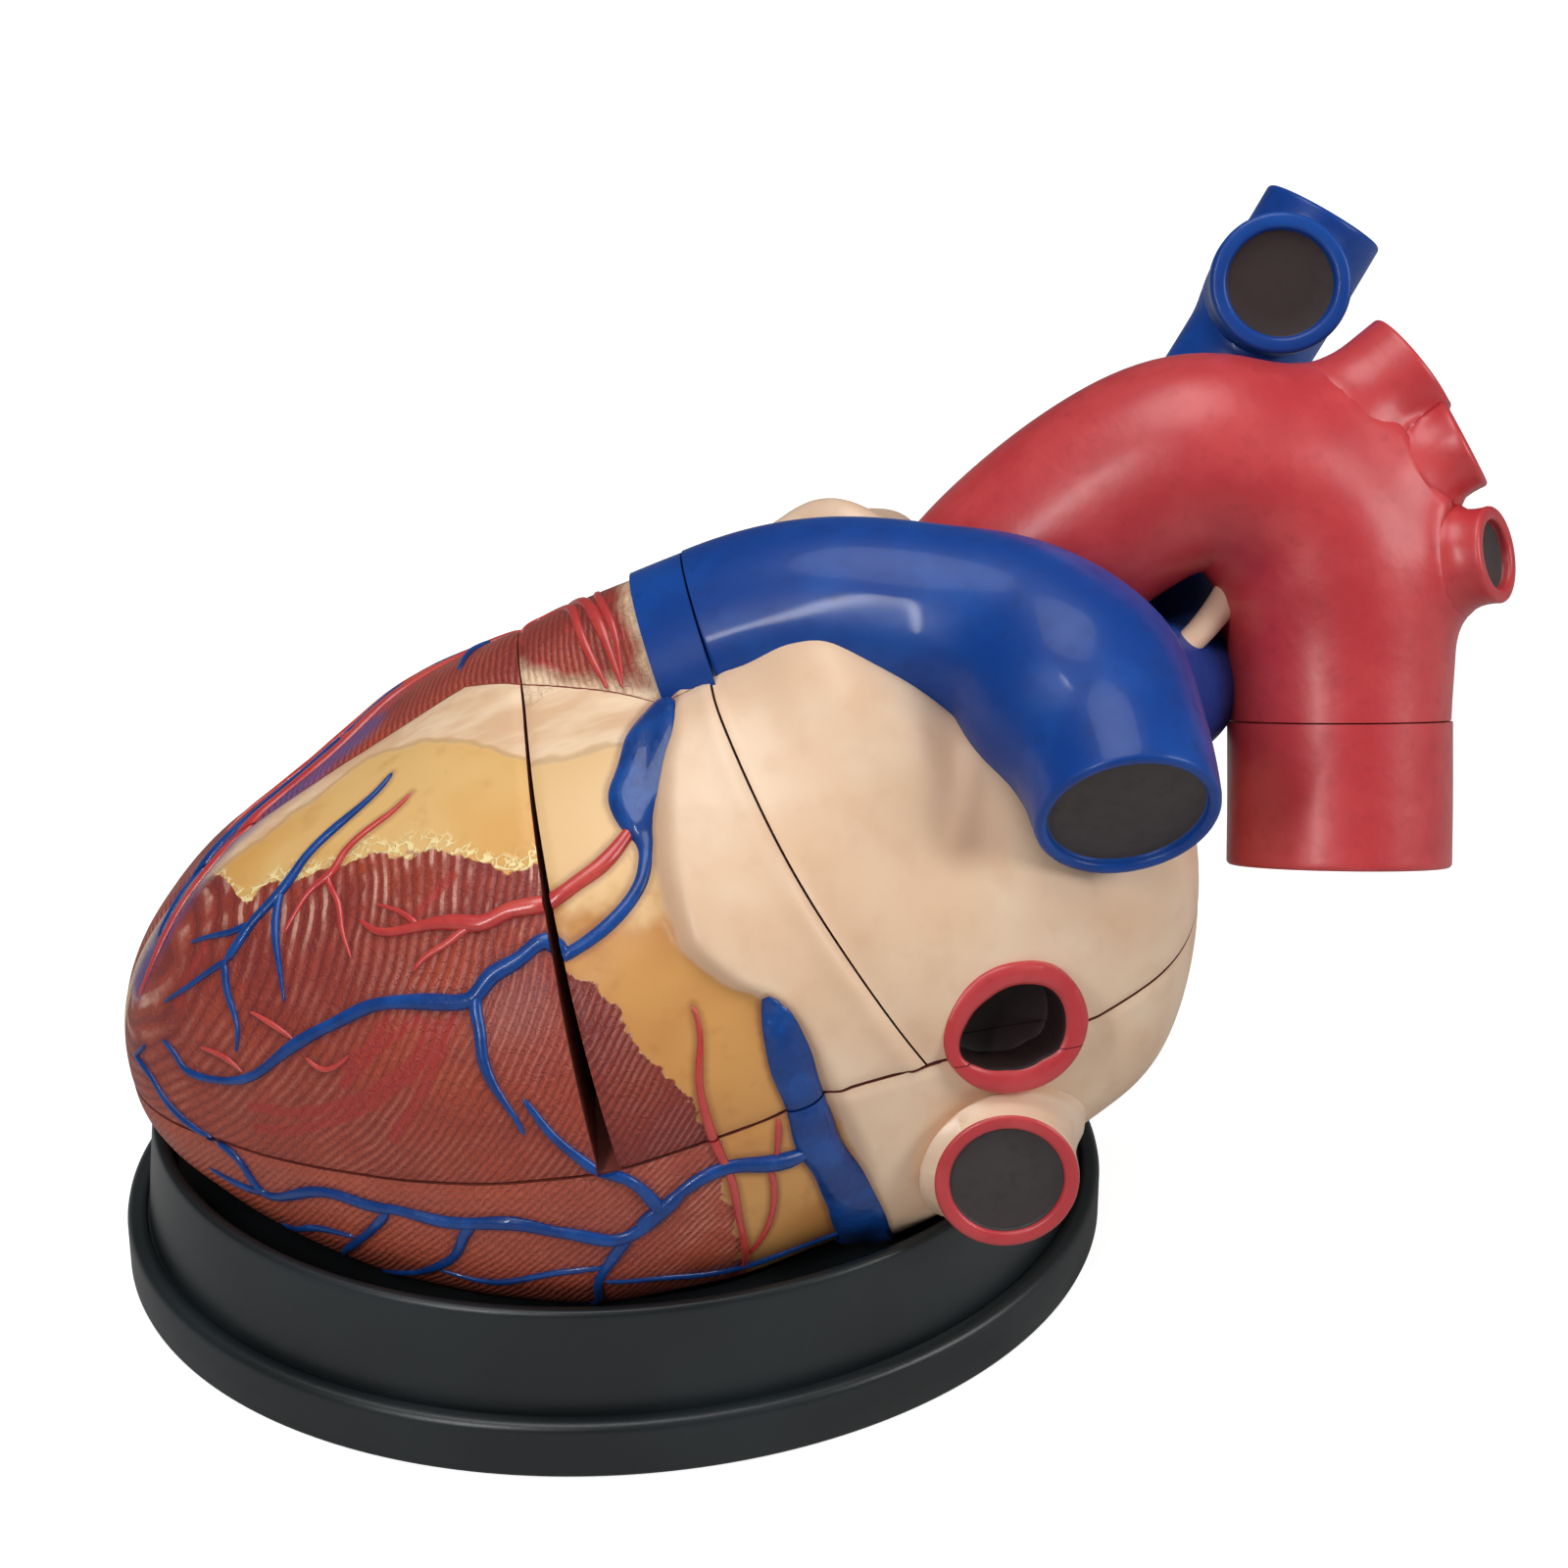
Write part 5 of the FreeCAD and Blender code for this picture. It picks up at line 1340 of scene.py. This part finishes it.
# The collar is a separate casting, joined square to the lower end of the arch.
collarWay, collarSpot = np.array([0.11, 0.51, 1.0]), np.array([183.7, -20.6, 138.3])
for name, (grid, marks, tube) in grids.items():
    walls = np.r_[marks == 0, False] & np.r_[False, marks == 0]
    if name in mergers:
        grid = grid.copy()
        for others, width in mergers[name]:
            fade = np.ones(walls.sum())
            if name in branches:            # the fillet dies out before a branch's mouth
                fade = np.clip(np.cumsum(walls[::-1])[::-1][walls] / 9.0, 0, 1)
            moved = mergedWith(grid[walls], fields[name], others, width)
            grid[walls] += (moved - grid[walls]) * fade[:, None, None]
    piece = vesselPiece(name + "_casting", grid, marks)
    if name == "pulmonary_trunk":
        carve(piece, atRoot(1, gap), "DIFFERENCE")
    if name == "superior_vena_cava":
        carve(piece, overParting(cuts["partingGap"]), "INTERSECT")
    if name in ("aortic_arch", "descending_aorta_collar"):
        shift, way = (0.32, "DIFFERENCE") if name == "aortic_arch" else (-0.1, "INTERSECT")
        carve(piece, halfSpace(collarWay, collarWay @ collarSpot + shift), way)
    sharpen(piece, 50)
    dress(piece, looks[name][0])
    mountPiece(piece, "great_vessels", [name])


# The ring where the trunk starts stays on the lower half; it stands a little prouder.
ringLine = [np.array(spot) + (0, -1.2, -1.2) for spot in heartShape["conusPath"]]
ringWidths = [width + 1.8 for width in heartShape["conusRadii"]]
ring = vesselPiece("pulmonary_root_ring_casting", *vesselRows(ringLine, ringWidths)[:2])
carve(ring, atRoot(0), "DIFFERENCE")
carve(ring, atRoot(1, -gap), "INTERSECT")
carve(ring, outflowBore(), "DIFFERENCE")
sharpen(ring, 50)
dress(ring, [blueEnamel, blueEnamel, rightLining, rightLining])
mountPiece(ring, rootBody, ["pulmonary_root_ring"])


def veinStub(points, radii, mouth, columns=88, endWay=None):
    # Cream root swelling out of the heart, ending in a painted rim and a dark mouth.
    grid, marks, tube = vesselRows(points, radii, mouth, 1.6, columns, endWay=endWay)
    walls = np.r_[marks == 0, False] & np.r_[False, marks == 0]
    grid = grid.copy()
    last = np.flatnonzero(walls)[-1]
    walls[max(last - 3, 0):] = False
    grid[walls] = mergedWith(grid[walls], fieldOf(tube), [skinField], 13.0)
    marks = marks.copy()
    marks[max(last - 2, 0):][marks[max(last - 2, 0):] == 0] = 1
    return grid, marks


def skinField(points):
    # Distance over the finished skin, its relief included.
    x, angle, reach = chart(points)
    inside = np.clip(x, stations[0, 0] + 0.5, stations[-1, 0] - 0.5)
    skin, _ = onSkin(inside, angle)
    return (reach - chart(skin)[2]) * 0.92 + np.abs(x - inside)


lowerVein = vesselPiece("lower_left_vein_casting", *veinStub(
    [(86, -56, 66), (81.5, -80, 63.5), (77.6, -99.4, 67.2)], [18, 17.6, 17.6], (13.8, 1.8, 1.1),
    endWay=(-3.4, -20, 3)))
dress(lowerVein, [creamPaint, redEnamel, mouthPaint, mouthPaint])
mountPiece(lowerVein, rootBody, ["lower_left_vein"])
rightStubs = []
for line in ([(106, 41, 80.5), (107.5, 57, 80.5), (110, 72, 80)], [(82, 40, 78), (81, 64, 76), (80, 84, 74)]):
    rightStubs.append(vesselPiece("stub", *veinStub(line, [13.5, 13, 13], (9.8, 2.2, 1.0))))
rightVeins = joinPieces("right_pulmonary_veins_casting", rightStubs,
                        [creamPaint, redEnamel, mouthPaint, mouthPaint])
mountPiece(rightVeins, rootBody, ["right_pulmonary_veins"])
lowerCava = vesselPiece("inferior_vena_cava_casting", *veinStub(
    [(58, 50, 68), (53, 76, 65), (49, 96, 63)], [17, 15.5, 15.5], (12.2, 2.4, 1.2)))
dress(lowerCava, [blueEnamel, blueEnamel, darkMouthAndShadePaint, darkMouthAndShadePaint])
mountPiece(lowerCava, rootBody, ["inferior_vena_cava"])

# The upper left vein is cut by the parting line: a leaf-shaped hole with a broad red rim.
# Its bore is near-black maroon: painted shade deep in the hole.
ringCentre, ringWay = np.array([82.2, -88.8, 103.2]), unit(np.array([0.03, -0.97, 0.24]))
ringSide = unit(np.cross(ringWay, (0, 0, 1.0)))
ringUp = np.cross(ringSide, ringWay)
leaf = {"outer": [(0, 18.0), (45, 17.8), (90, 16.7), (135, 17.4), (180, 18.4), (225, 17.3), (270, 16.1),
                  (315, 16.9), (360, 18.0)],
        "hole": [(0, 11.6), (40, 12.2), (80, 11.0), (120, 10.6), (160, 12.2), (196, 14.6), (220, 12.2),
                 (260, 9.6), (300, 9.6), (330, 11.4), (360, 11.6)]}
turn = np.arange(120) * 3.0
outerEdge = monotoneCurve(*np.array(leaf["outer"], float).T)(turn)
holeEdge = monotoneCurve(*np.array(leaf["hole"], float).T)(turn)
spokes = np.sin(np.radians(turn))[:, None] * ringUp - np.cos(np.radians(turn))[:, None] * ringSide
ringRows, ringMarks = [], []
for forward, share, mark in [(-19, 0.95, 0), (-16, 0.95, 0), (-12, 0.97, 0), (-7, 0.99, 0), (-4, 1.0, 1),
                             (-1.6, 1.0, 1), (-0.7, 0.975, 1), (0, 0.90, 1), (0.2, 0.66, 1), (0.2, 0.3, 1),
                             (-0.4, 0.08, 2), (-2, 0.0, 2), (-6, -0.02, 2), (-12.6, -0.03, 2),
                             (-13, -0.1, 3)]:
    # from the hole's edge outwards, or with a share below nought inwards from it
    reach = holeEdge + (outerEdge - holeEdge) * share if share >= 0 else holeEdge * (1 + share)
    ringRows.append((ringCentre + ringWay * forward)[None] + reach[:, None] * spokes)
    ringMarks.append(mark)
ends = [np.broadcast_to(ringCentre + ringWay * forward, (120, 3)) for forward in (-19, -13.2)]
ringRows = np.array([ends[0]] + ringRows + [ends[1]])
ringMarks = np.array([0] + ringMarks)
for node, lift, way, body in (("upper_left_vein_cap", 0.2, "INTERSECT", "great_vessels"),
                              ("upper_left_vein_base", 0, "DIFFERENCE", rootBody)):
    piece = vesselPiece(node + "_casting", ringRows, ringMarks)
    carve(piece, overParting(lift), way)
    sharpen(piece, 50)
    # flat faces at the parting inside the hole take the bore's near-black maroon: painted shade that hides
    # the seam there
    for face in piece.data.polygons:
        spot = face.center / mm
        if abs(face.normal.z) > 0.9 and abs(spot.z - partingHeight(spot.x)) < 0.6:
            face.material_index = 2
    dress(piece, [creamPaint, redEnamel, darkMouthAndShadePaint, darkMouthAndShadePaint])
    mountPiece(piece, body, [node])
for casting in (castings["roof"], castings["lower"]):
    plug = np.array([ringCentre + ringWay * forward + outerEdge[:, None] * share * spokes
                     for forward, share in ((-20, 0), (-20, 0.96), (14, 0.96), (14, 0))])
    carve(casting, shellPiece("tool", plug, 1), "DIFFERENCE")
    sharpen(casting)

# Right auricle: a lobed ear behind the trunk.
earShape = {"centre": (66.0, 28.0, 162.5), "half": (29.0, 20.0, 24.5), "rows": 60, "columns": 96}
polar, around = np.meshgrid(np.linspace(0, np.pi, earShape["rows"]),
                            np.arange(earShape["columns"]) * 2 * np.pi / earShape["columns"], indexing="ij")
ball = np.stack([np.cos(polar), np.sin(polar) * np.cos(around), np.sin(polar) * np.sin(around)], -1)
lobes = 1 + 0.05 * np.sin(5 * around + 2.2 * np.cos(3 * polar)) * np.sin(polar)
lobes += 0.035 * np.sin(7 * polar + 2 * around) * np.sin(polar) ** 2
earPoints = np.array(earShape["centre"]) + ball * lobes[..., None] * np.array(earShape["half"])
ear = vesselPiece("right_auricle_casting", earPoints, np.zeros(earShape["rows"] - 1, int))
carve(ear, atVessels(gap), "DIFFERENCE")
sharpen(ear, 50)
dress(ear, [creamPaint] * 4)
mountPiece(ear, "great_vessels", ["right_auricle"])
ligamentLine = [(170, 8, 176), (143, -18, 163.5), (120, -36, 165)]
cord, cordMarks, _ = vesselRows(ligamentLine, [4.8, 3.4, 4.8], None, 1.5, 32)
ligament = vesselPiece("ligamentum_arteriosum_casting", cord, cordMarks)
dress(ligament, [creamPaint] * 4)
mountPiece(ligament, "great_vessels", ["ligamentum_arteriosum"])
report("great vessels made")


# Inside of the heart.

def ringBand(name, sections, materials, marks=None):
    # Closed band: every column carries one closed cross-section (rows wrap round too).
    sections = np.asarray(sections, float)
    rows, columns = sections.shape[:2]
    row, column = np.meshgrid(np.arange(rows), np.arange(columns), indexing="ij")
    nextRow, nextColumn = (row + 1) % rows, (column + 1) % columns
    faces = np.stack([row * columns + column, row * columns + nextColumn,
                      nextRow * columns + nextColumn, nextRow * columns + column], -1).reshape(-1, 4)
    given = None if marks is None else np.repeat(marks, columns)
    piece = pieceFrom(name, meshFrom(name, sections, faces, materials, given))
    sharpen(piece, 50)
    return piece


def axisFrame(axis):
    # The axis and two directions square to it.
    axis = unit(np.array(axis, float))
    side = unit(np.cross(axis, (0.1, 0.2, 1.0)))
    return axis, side, np.cross(axis, side)


# Valves: a corded ring from which thin cusps hang, their free edges scalloped and thickened.
valveShapes = {
    # centre, axis, outer, inner, tip radius, reach, cusps, start angle, ring height
    "mitral_valve": ((45, -34, 70), (-1, 0, 0), 15, 12, 5.2, 19, 2, 20, 7),
    "tricuspid_valve": ((45, 36.4, 72), (-60, 8, 0), 15, 12, 5.2, 19, 3, 20, 7),
    "pulmonary_valve": ((8, 6.5, 153.5), (17, -7, 17), 15, 12.2, 4.2, 12, 3, 20, 7),
    "aortic_valve": ((34, -11, 114), (62, 39, 31), 13, 10.5, 3.8, 10, 3, 20, 7),
}
valveColumns = 168
cuspPaint = brushedPaint("valve_cusp_ivory", "#E6D9BC", "#F0E7D0", "#CDB893",
                         {"Roughness": 0.36, "Coat Weight": 0.4, "Coat Roughness": 0.15}, 8, 0.15)
for name, (centre, axis, outer, inner, tip, reach, cusps, start, tall) in valveShapes.items():
    axis, side, up = axisFrame(axis)
    turn = np.arange(valveColumns) * 2 * np.pi / valveColumns
    scallop = np.abs(np.sin(cusps * (turn - math.radians(start)) / 2)) ** 0.55
    length = 4.5 + (reach - 2.5) * scallop * (1 + 0.04 * np.sin(9 * turn))
    section = [(outer - 1.4, -0.1), (outer - 0.4, 0.3), (outer, 1.2), (outer, tall - 1.2),
               (outer - 0.4, tall - 0.3), (outer - 1.4, tall)]
    rows = [(radius + 0 * turn, height + 0 * turn) for radius, height in section]
    pleat = 0.35 * np.sin(cusps * 7 * turn)

    def funnel(share, over):
        depth = 2.0 + share * length
        close = (depth / (reach + 2)) ** 1.25
        return (inner - (inner - tip) * close + over + 0.9 * np.sin(share * np.pi) + pleat * share,
                depth + 0 * turn)
    rows += [funnel(share, 1.25) for share in np.linspace(0.32, 0.97, 9)]
    rows += [(funnel(1.0, 0.9)[0], funnel(1.0, 0)[1] + 0.35), (funnel(1.0, 0.2)[0], funnel(1.0, 0)[1] + 0.35)]
    rows += [funnel(share, 0.0) for share in np.linspace(0.97, 0.02, 11)]
    rows += [(inner + 0.1 + 0 * turn, 0.9 + 0 * turn), (inner + 0.6 + 0 * turn, 0.1 + 0 * turn)]
    grid = np.array([np.array(centre, float) + axis * height[:, None]
                     + radius[:, None] * (np.cos(turn)[:, None] * side + np.sin(turn)[:, None] * up)
                     for radius, height in rows])
    valve = ringBand(name + "_cusps", grid, [cuspPaint])
    mountPiece(valve, rootBody, [name])

# Papillary muscles: fluted fingers that spread where they leave the wall.
fingerPaint = brushedPaint("papillary_muscle_paint", "#A5463E", "#BC5E50", "#85332F",
                           {"Roughness": 0.34, "Coat Weight": 0.4, "Coat Roughness": 0.15}, 7, 0.3)
for name, fingers in {
    "left_papillary_muscles": [((-50, -22, 30), (-26, -24, 62), 10, 4),
                               ((-22, -50, 36), (-4, -46, 64), 9, 4)],
    "right_papillary_muscles": [((-44, 40, 32), (-22, 42, 60), 8, 3.5),
                                ((-14, 28, 30), (-2, 32, 58), 8, 3.5)],
}.items():
    made = []
    for foot, tip, wide, narrow in fingers:
        foot, tip = np.array(foot, float), np.array(tip, float)
        way = unit(tip - foot)
        share = np.linspace(0, 1, 26)
        line = foot + (tip - foot) * share[:, None]
        widths = narrow + (wide - narrow) * (1 - share) ** 0.8
        cap = np.radians([18, 36, 54, 72, 84])
        line = np.concatenate([line, tip + way * (narrow * np.sin(cap))[:, None]])
        widths = np.r_[widths, narrow * np.cos(cap)]
        _, side, up = axisFrame(way)
        turn = np.arange(72) * 2 * np.pi / 72
        along = np.linalg.norm(line - foot, axis=1)[:, None]
        flute = 1 + 0.055 * np.sin(9 * turn + 0.9 * np.sin(along / 7)) + 0.03 * np.sin(5 * turn + along / 5)
        grid = line[:, None] + (widths[:, None] * flute)[..., None] * (
            np.cos(turn)[:, None] * side + np.sin(turn)[:, None] * up)[None]
        grid = np.concatenate([np.broadcast_to(foot, (1, 72, 3)), grid,
                               np.broadcast_to(tip + way * narrow, (1, 72, 3))])
        made.append(pieceFrom("finger", meshFrom("finger", grid, gridFaces(*grid.shape[:2]))))
    mountPiece(joinPieces(name + "_fingers", made, [fingerPaint]), rootBody, [name])

# Chordae: taut cords from each finger that part into finer ones before the cusps.
cordRuns = []
for tip, ends in [((-26, -24, 62), [(25, -30, 74), (25, -28, 69), (26, -30, 64)]),
                  ((-4, -46, 64), [(25, -38, 75), (25, -40, 70), (26, -38, 65)]),
                  ((-22, 42, 60), [(25, 41, 77), (26, 43, 72)]),
                  ((-2, 32, 58), [(25, 37, 66), (26, 34, 70)])]:
    tip = np.array(tip, float)
    for end in np.array(ends, float):
        fork = tip + (end - tip) * 0.62
        sag = (0, 0, -0.6)
        stem = [tip + (end - tip) * 0.02, tip + (end - tip) * 0.3 + sag, fork, end]
        cordRuns.append((stem, [0.9, 0.7, 0.65, 0.6]))
        for spread in ((0, 1.6, 1.4), (0, -1.5, 1.5)):
            branch = [fork, fork + (end - fork) * 0.5 + np.array(spread) * 0.6, end + np.array(spread)]
            cordRuns.append((branch, [0.55, 0.42, 0.4]))
cords = []
for line, widths in cordRuns:
    grid, _, _ = vesselRows(line, widths, None, 1.6, 10)
    cords.append(pieceFrom("cord", meshFrom("cord", grid, gridFaces(*grid.shape[:2]))))
chordae = joinPieces("chordae_tendineae_cords", cords, [cuspPaint])
mountPiece(chordae, rootBody, ["chordae_tendineae"])

# The septum above the parting line: two ridged faces joined round their edge.
step = 1.5
x, z = np.meshgrid(np.arange(-128, 52, step), np.arange(44, 160, step), indexing="ij")
ridges = np.maximum(np.sin(x / 5 + 1.7 * np.sin(z / 9)), 0) ** 1.6
ridges = 0.7 * (ridges + 0.6 * np.maximum(np.sin(z / 3.6 + 2 * np.sin(x / 13)), 0) ** 3)
count = x.size
front = np.stack([x, chambers["septumFront"] + ridges, z], -1).reshape(-1, 3)
back = np.stack([x, chambers["septumBack"] - ridges[::-1], z], -1).reshape(-1, 3)
index = np.arange(count).reshape(x.shape)
quads = np.stack([index[:-1, :-1], index[1:, :-1], index[1:, 1:], index[:-1, 1:]], -1).reshape(-1, 4)
edge = np.concatenate([index[:, 0], index[-1, 1:], index[-2::-1, -1], index[0, -2:0:-1]])
around = np.stack([np.roll(edge, -1), edge, edge + count, np.roll(edge, -1) + count], -1)
faces = np.concatenate([quads, quads[:, ::-1] + count, around])
marks = np.repeat([2, 3, 1], [len(quads), len(quads), len(around)])
septum = pieceFrom("ventricular_septum_casting",
                   meshFrom("septum", np.concatenate([front, back]), faces, markSlots, marks))
turnOutwards(septum.data)
for tool, way in [(dome(1, 0.6), "INTERSECT"), (overParting(0), "INTERSECT"),
                  (atApex(-0.8), "INTERSECT")]:
    carve(septum, tool, way)
sharpen(septum)
dress(septum, [cutPaint, cutPaint, leftLining, rightLining])
mountPiece(septum, rootBody, ["ventricular_septum"])
report("inside made")


# Stand and hardware.

def mouldedPlastic():
    # Injection-moulded black plastic: nearly even charcoal, satin, with the faint orange-peel
    # and the fine spark-eroded grain that breaks up its highlights.
    material, tree, shader = newMaterial("satin_moulded_plastic",
                                         {"Roughness": 0.36, "Specular IOR Level": 0.5})
    spot = addNode(tree, "TexCoord", result="Object")
    wide, fine = noiseOf(tree, spot, 60, 2), noiseOf(tree, spot, 0.5, 2)
    colour = mixColours(tree, band(tree, wide, 0.35, 0.7), "#181D1F", "#20272A")
    peel = addNode(tree, "Math", "MULTIPLY_ADD", [noiseOf(tree, spot, 7, 1), 1.2, fine])
    setSurface(tree, shader, colour, peel, 0.03, (wide, 0.30, 0.42))
    return material


def turnedSteel():
    # Plated steel of pegs, screws and magnets: fine drawn lines, slightly dulled.
    material, tree, shader = newMaterial("plated_steel", {"Metallic": 1.0, "Roughness": 0.3})
    spot = addNode(tree, "TexCoord", result="Object")
    lines = noiseOf(tree, spot, 2.0, 3, 0.6, ((0, 0, 0), (1, 1, 12)))
    colour = mixColours(tree, band(tree, lines, 0.3, 0.7), "#9C9EA1", "#C4C6C8")
    setSurface(tree, shader, colour, lines, 0.02, (lines, 0.22, 0.42))
    return material


def padRubber():
    # Die-cut rubber pads: matt, dusty black with a crumbly surface.
    material, tree, shader = newMaterial("pad_rubber", {"Roughness": 0.85})
    spot = addNode(tree, "TexCoord", result="Object")
    grain = noiseOf(tree, spot, 0.6, 3)
    colour = mixColours(tree, band(tree, grain, 0.35, 0.7), "#141414", "#232322")
    setSurface(tree, shader, colour, grain, 0.06)
    return material


plastic, steel, rubber = mouldedPlastic(), turnedSteel(), padRubber()
standShape = {
    "halfLength": 127.5, "halfDepth": 109.0, "columns": 240,
    # inset from the foot's outline and height, once round the wall's section
    "section": [(0.9, 0.8), (0.3, 1.1), (0.0, 1.9), (0.0, 8.0), (0.0, 13.4), (0.25, 14.6), (0.9, 15.5),
                (1.9, 16.0), (3.2, 16.1), (4.7, 16.0), (5.1, 15.6), (5.3, 14.9), (5.75, 14.9), (5.9, 15.6),
                (6.0, 18.0), (6.7, 26.0), (7.5, 34.0), (8.2, 41.0), (8.35, 42.6), (8.8, 43.6), (9.6, 44.0),
                (10.9, 44.0), (11.7, 43.6), (12.05, 42.8), (11.9, 40.0), (11.2, 28.0), (10.2, 14.0),
                (9.8, 6.0), (9.7, 4.4), (9.5, 4.0), (5.0, 4.0), (4.7, 3.8), (4.6, 3.4), (4.6, 1.4),
                (4.4, 0.9), (4.0, 0.8)],
}
turn = np.arange(standShape["columns"]) * 2 * np.pi / standShape["columns"]
sections = np.array([[np.cos(turn) * (standShape["halfLength"] - inset),
                      np.sin(turn) * (standShape["halfDepth"] - inset),
                      height + 0 * turn] for inset, height in standShape["section"]]).transpose(0, 2, 1)
standBody = ringBand("stand_body_moulding", sections, [plastic])
mountPiece(standBody, rootBody, ["stand_body"])
# Pieces shown as their CAD nodes are.
keptNodes = [
    (plastic, ["stand_bottom_plate", "heart_cradle"]),
    (rubber, ["rubber_feet"]),
    (steel, ["stand_screws", "heart_screws", "locating_pegs", "fixed_magnets", "left_wall_magnet",
             "right_wall_magnet", "base_wall_magnet", "atria_roof_magnet"]),
]
for material, names in keptNodes:
    for name in names:
        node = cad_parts[name]
        node.data.materials.clear()
        node.data.materials.append(material)
for slot in markSlots:
    bpy.data.materials.remove(slot)
report("stand and hardware made")


# Stage.

def areaLamp(name, spot, aim, size, power):
    # Oval soft light at a spot, turned to its aim.
    lamp = bpy.data.lights.new(name, "AREA")
    lamp.shape, lamp.size, lamp.size_y, lamp.energy = "ELLIPSE", size[0], size[1], power
    holder = bpy.data.objects.new(name, lamp)
    bpy.context.scene.collection.objects.link(holder)
    holder.location = spot
    way = np.array(aim, float) - np.array(spot, float)
    holder.rotation_euler = Vector(way).to_track_quat("-Z", "Y").to_euler()


studio = {
    "floorSize": 6.0, "floorGlow": 0.85, "worldStrength": 0.1,
    "key": ((-0.78, -0.96, 0.98), (0.05, 0, 0.12), (0.08, 1.0), 9.5),
    "overhead": ((-0.05, 0.05, 1.9), (0.05, 0, 0.1), (1.6, 1.3), 19.5),
    "fill": ((1.15, -0.6, 0.75), (0.08, 0, 0.12), (0.7, 0.7), 7.5),
    "lens": 101.475, "cameraSpot": (-0.16522, -0.93922, 0.68150),
    "cameraTurn": (math.radians(60), 0.0, -0.22),
}
floorMesh = bpy.data.meshes.new("floor")
half = studio["floorSize"] / 2
corners = [(-half, -half, 0), (half, -half, 0), (half, half, 0), (-half, half, 0)]
floorMesh.from_pydata(corners, [], [(0, 1, 2, 3)])
floor = bpy.data.objects.new("floor", floorMesh)
bpy.context.scene.collection.objects.link(floor)
floorPaint, tree, shader = newMaterial("studio_floor", {"Roughness": 0.9, "Specular IOR Level": 0.0})
shader.inputs["Base Color"].default_value = (0.5, 0.5, 0.5, 1)     # dims the light it throws back
shader.inputs["Emission Color"].default_value = (1, 1, 1, 1)
seen = addNode(tree, "LightPath", result="Is Camera Ray")
glow = addNode(tree, "Math", "MULTIPLY", [seen, studio["floorGlow"]])
tree.links.new(glow, shader.inputs["Emission Strength"])
floor.data.materials.append(floorPaint)

world = bpy.data.worlds.new("studio_world")
bpy.context.scene.world = world
world.use_nodes = True
tree = world.node_tree
sky = tree.nodes["Background"]
sky.inputs["Color"].default_value = (1, 1, 1, 1)
seen = addNode(tree, "LightPath", result="Is Camera Ray")
strength = addNode(tree, "MapRange", None, {"Value": seen, "To Min": studio["worldStrength"], "To Max": 1.0})
tree.links.new(strength, sky.inputs["Strength"])
for name in ("key", "overhead", "fill"):
    areaLamp(name + "_softbox", *studio[name])

camera = bpy.data.objects.new("camera", bpy.data.cameras.new("camera"))
bpy.context.scene.collection.objects.link(camera)
camera.data.lens, camera.data.sensor_width = studio["lens"], 36.0
camera.location, camera.rotation_euler = studio["cameraSpot"], studio["cameraTurn"]
camera.data.clip_end = 20
bpy.context.scene.camera = camera
bpy.context.scene.view_settings.view_transform = "Standard"
report("stage set")
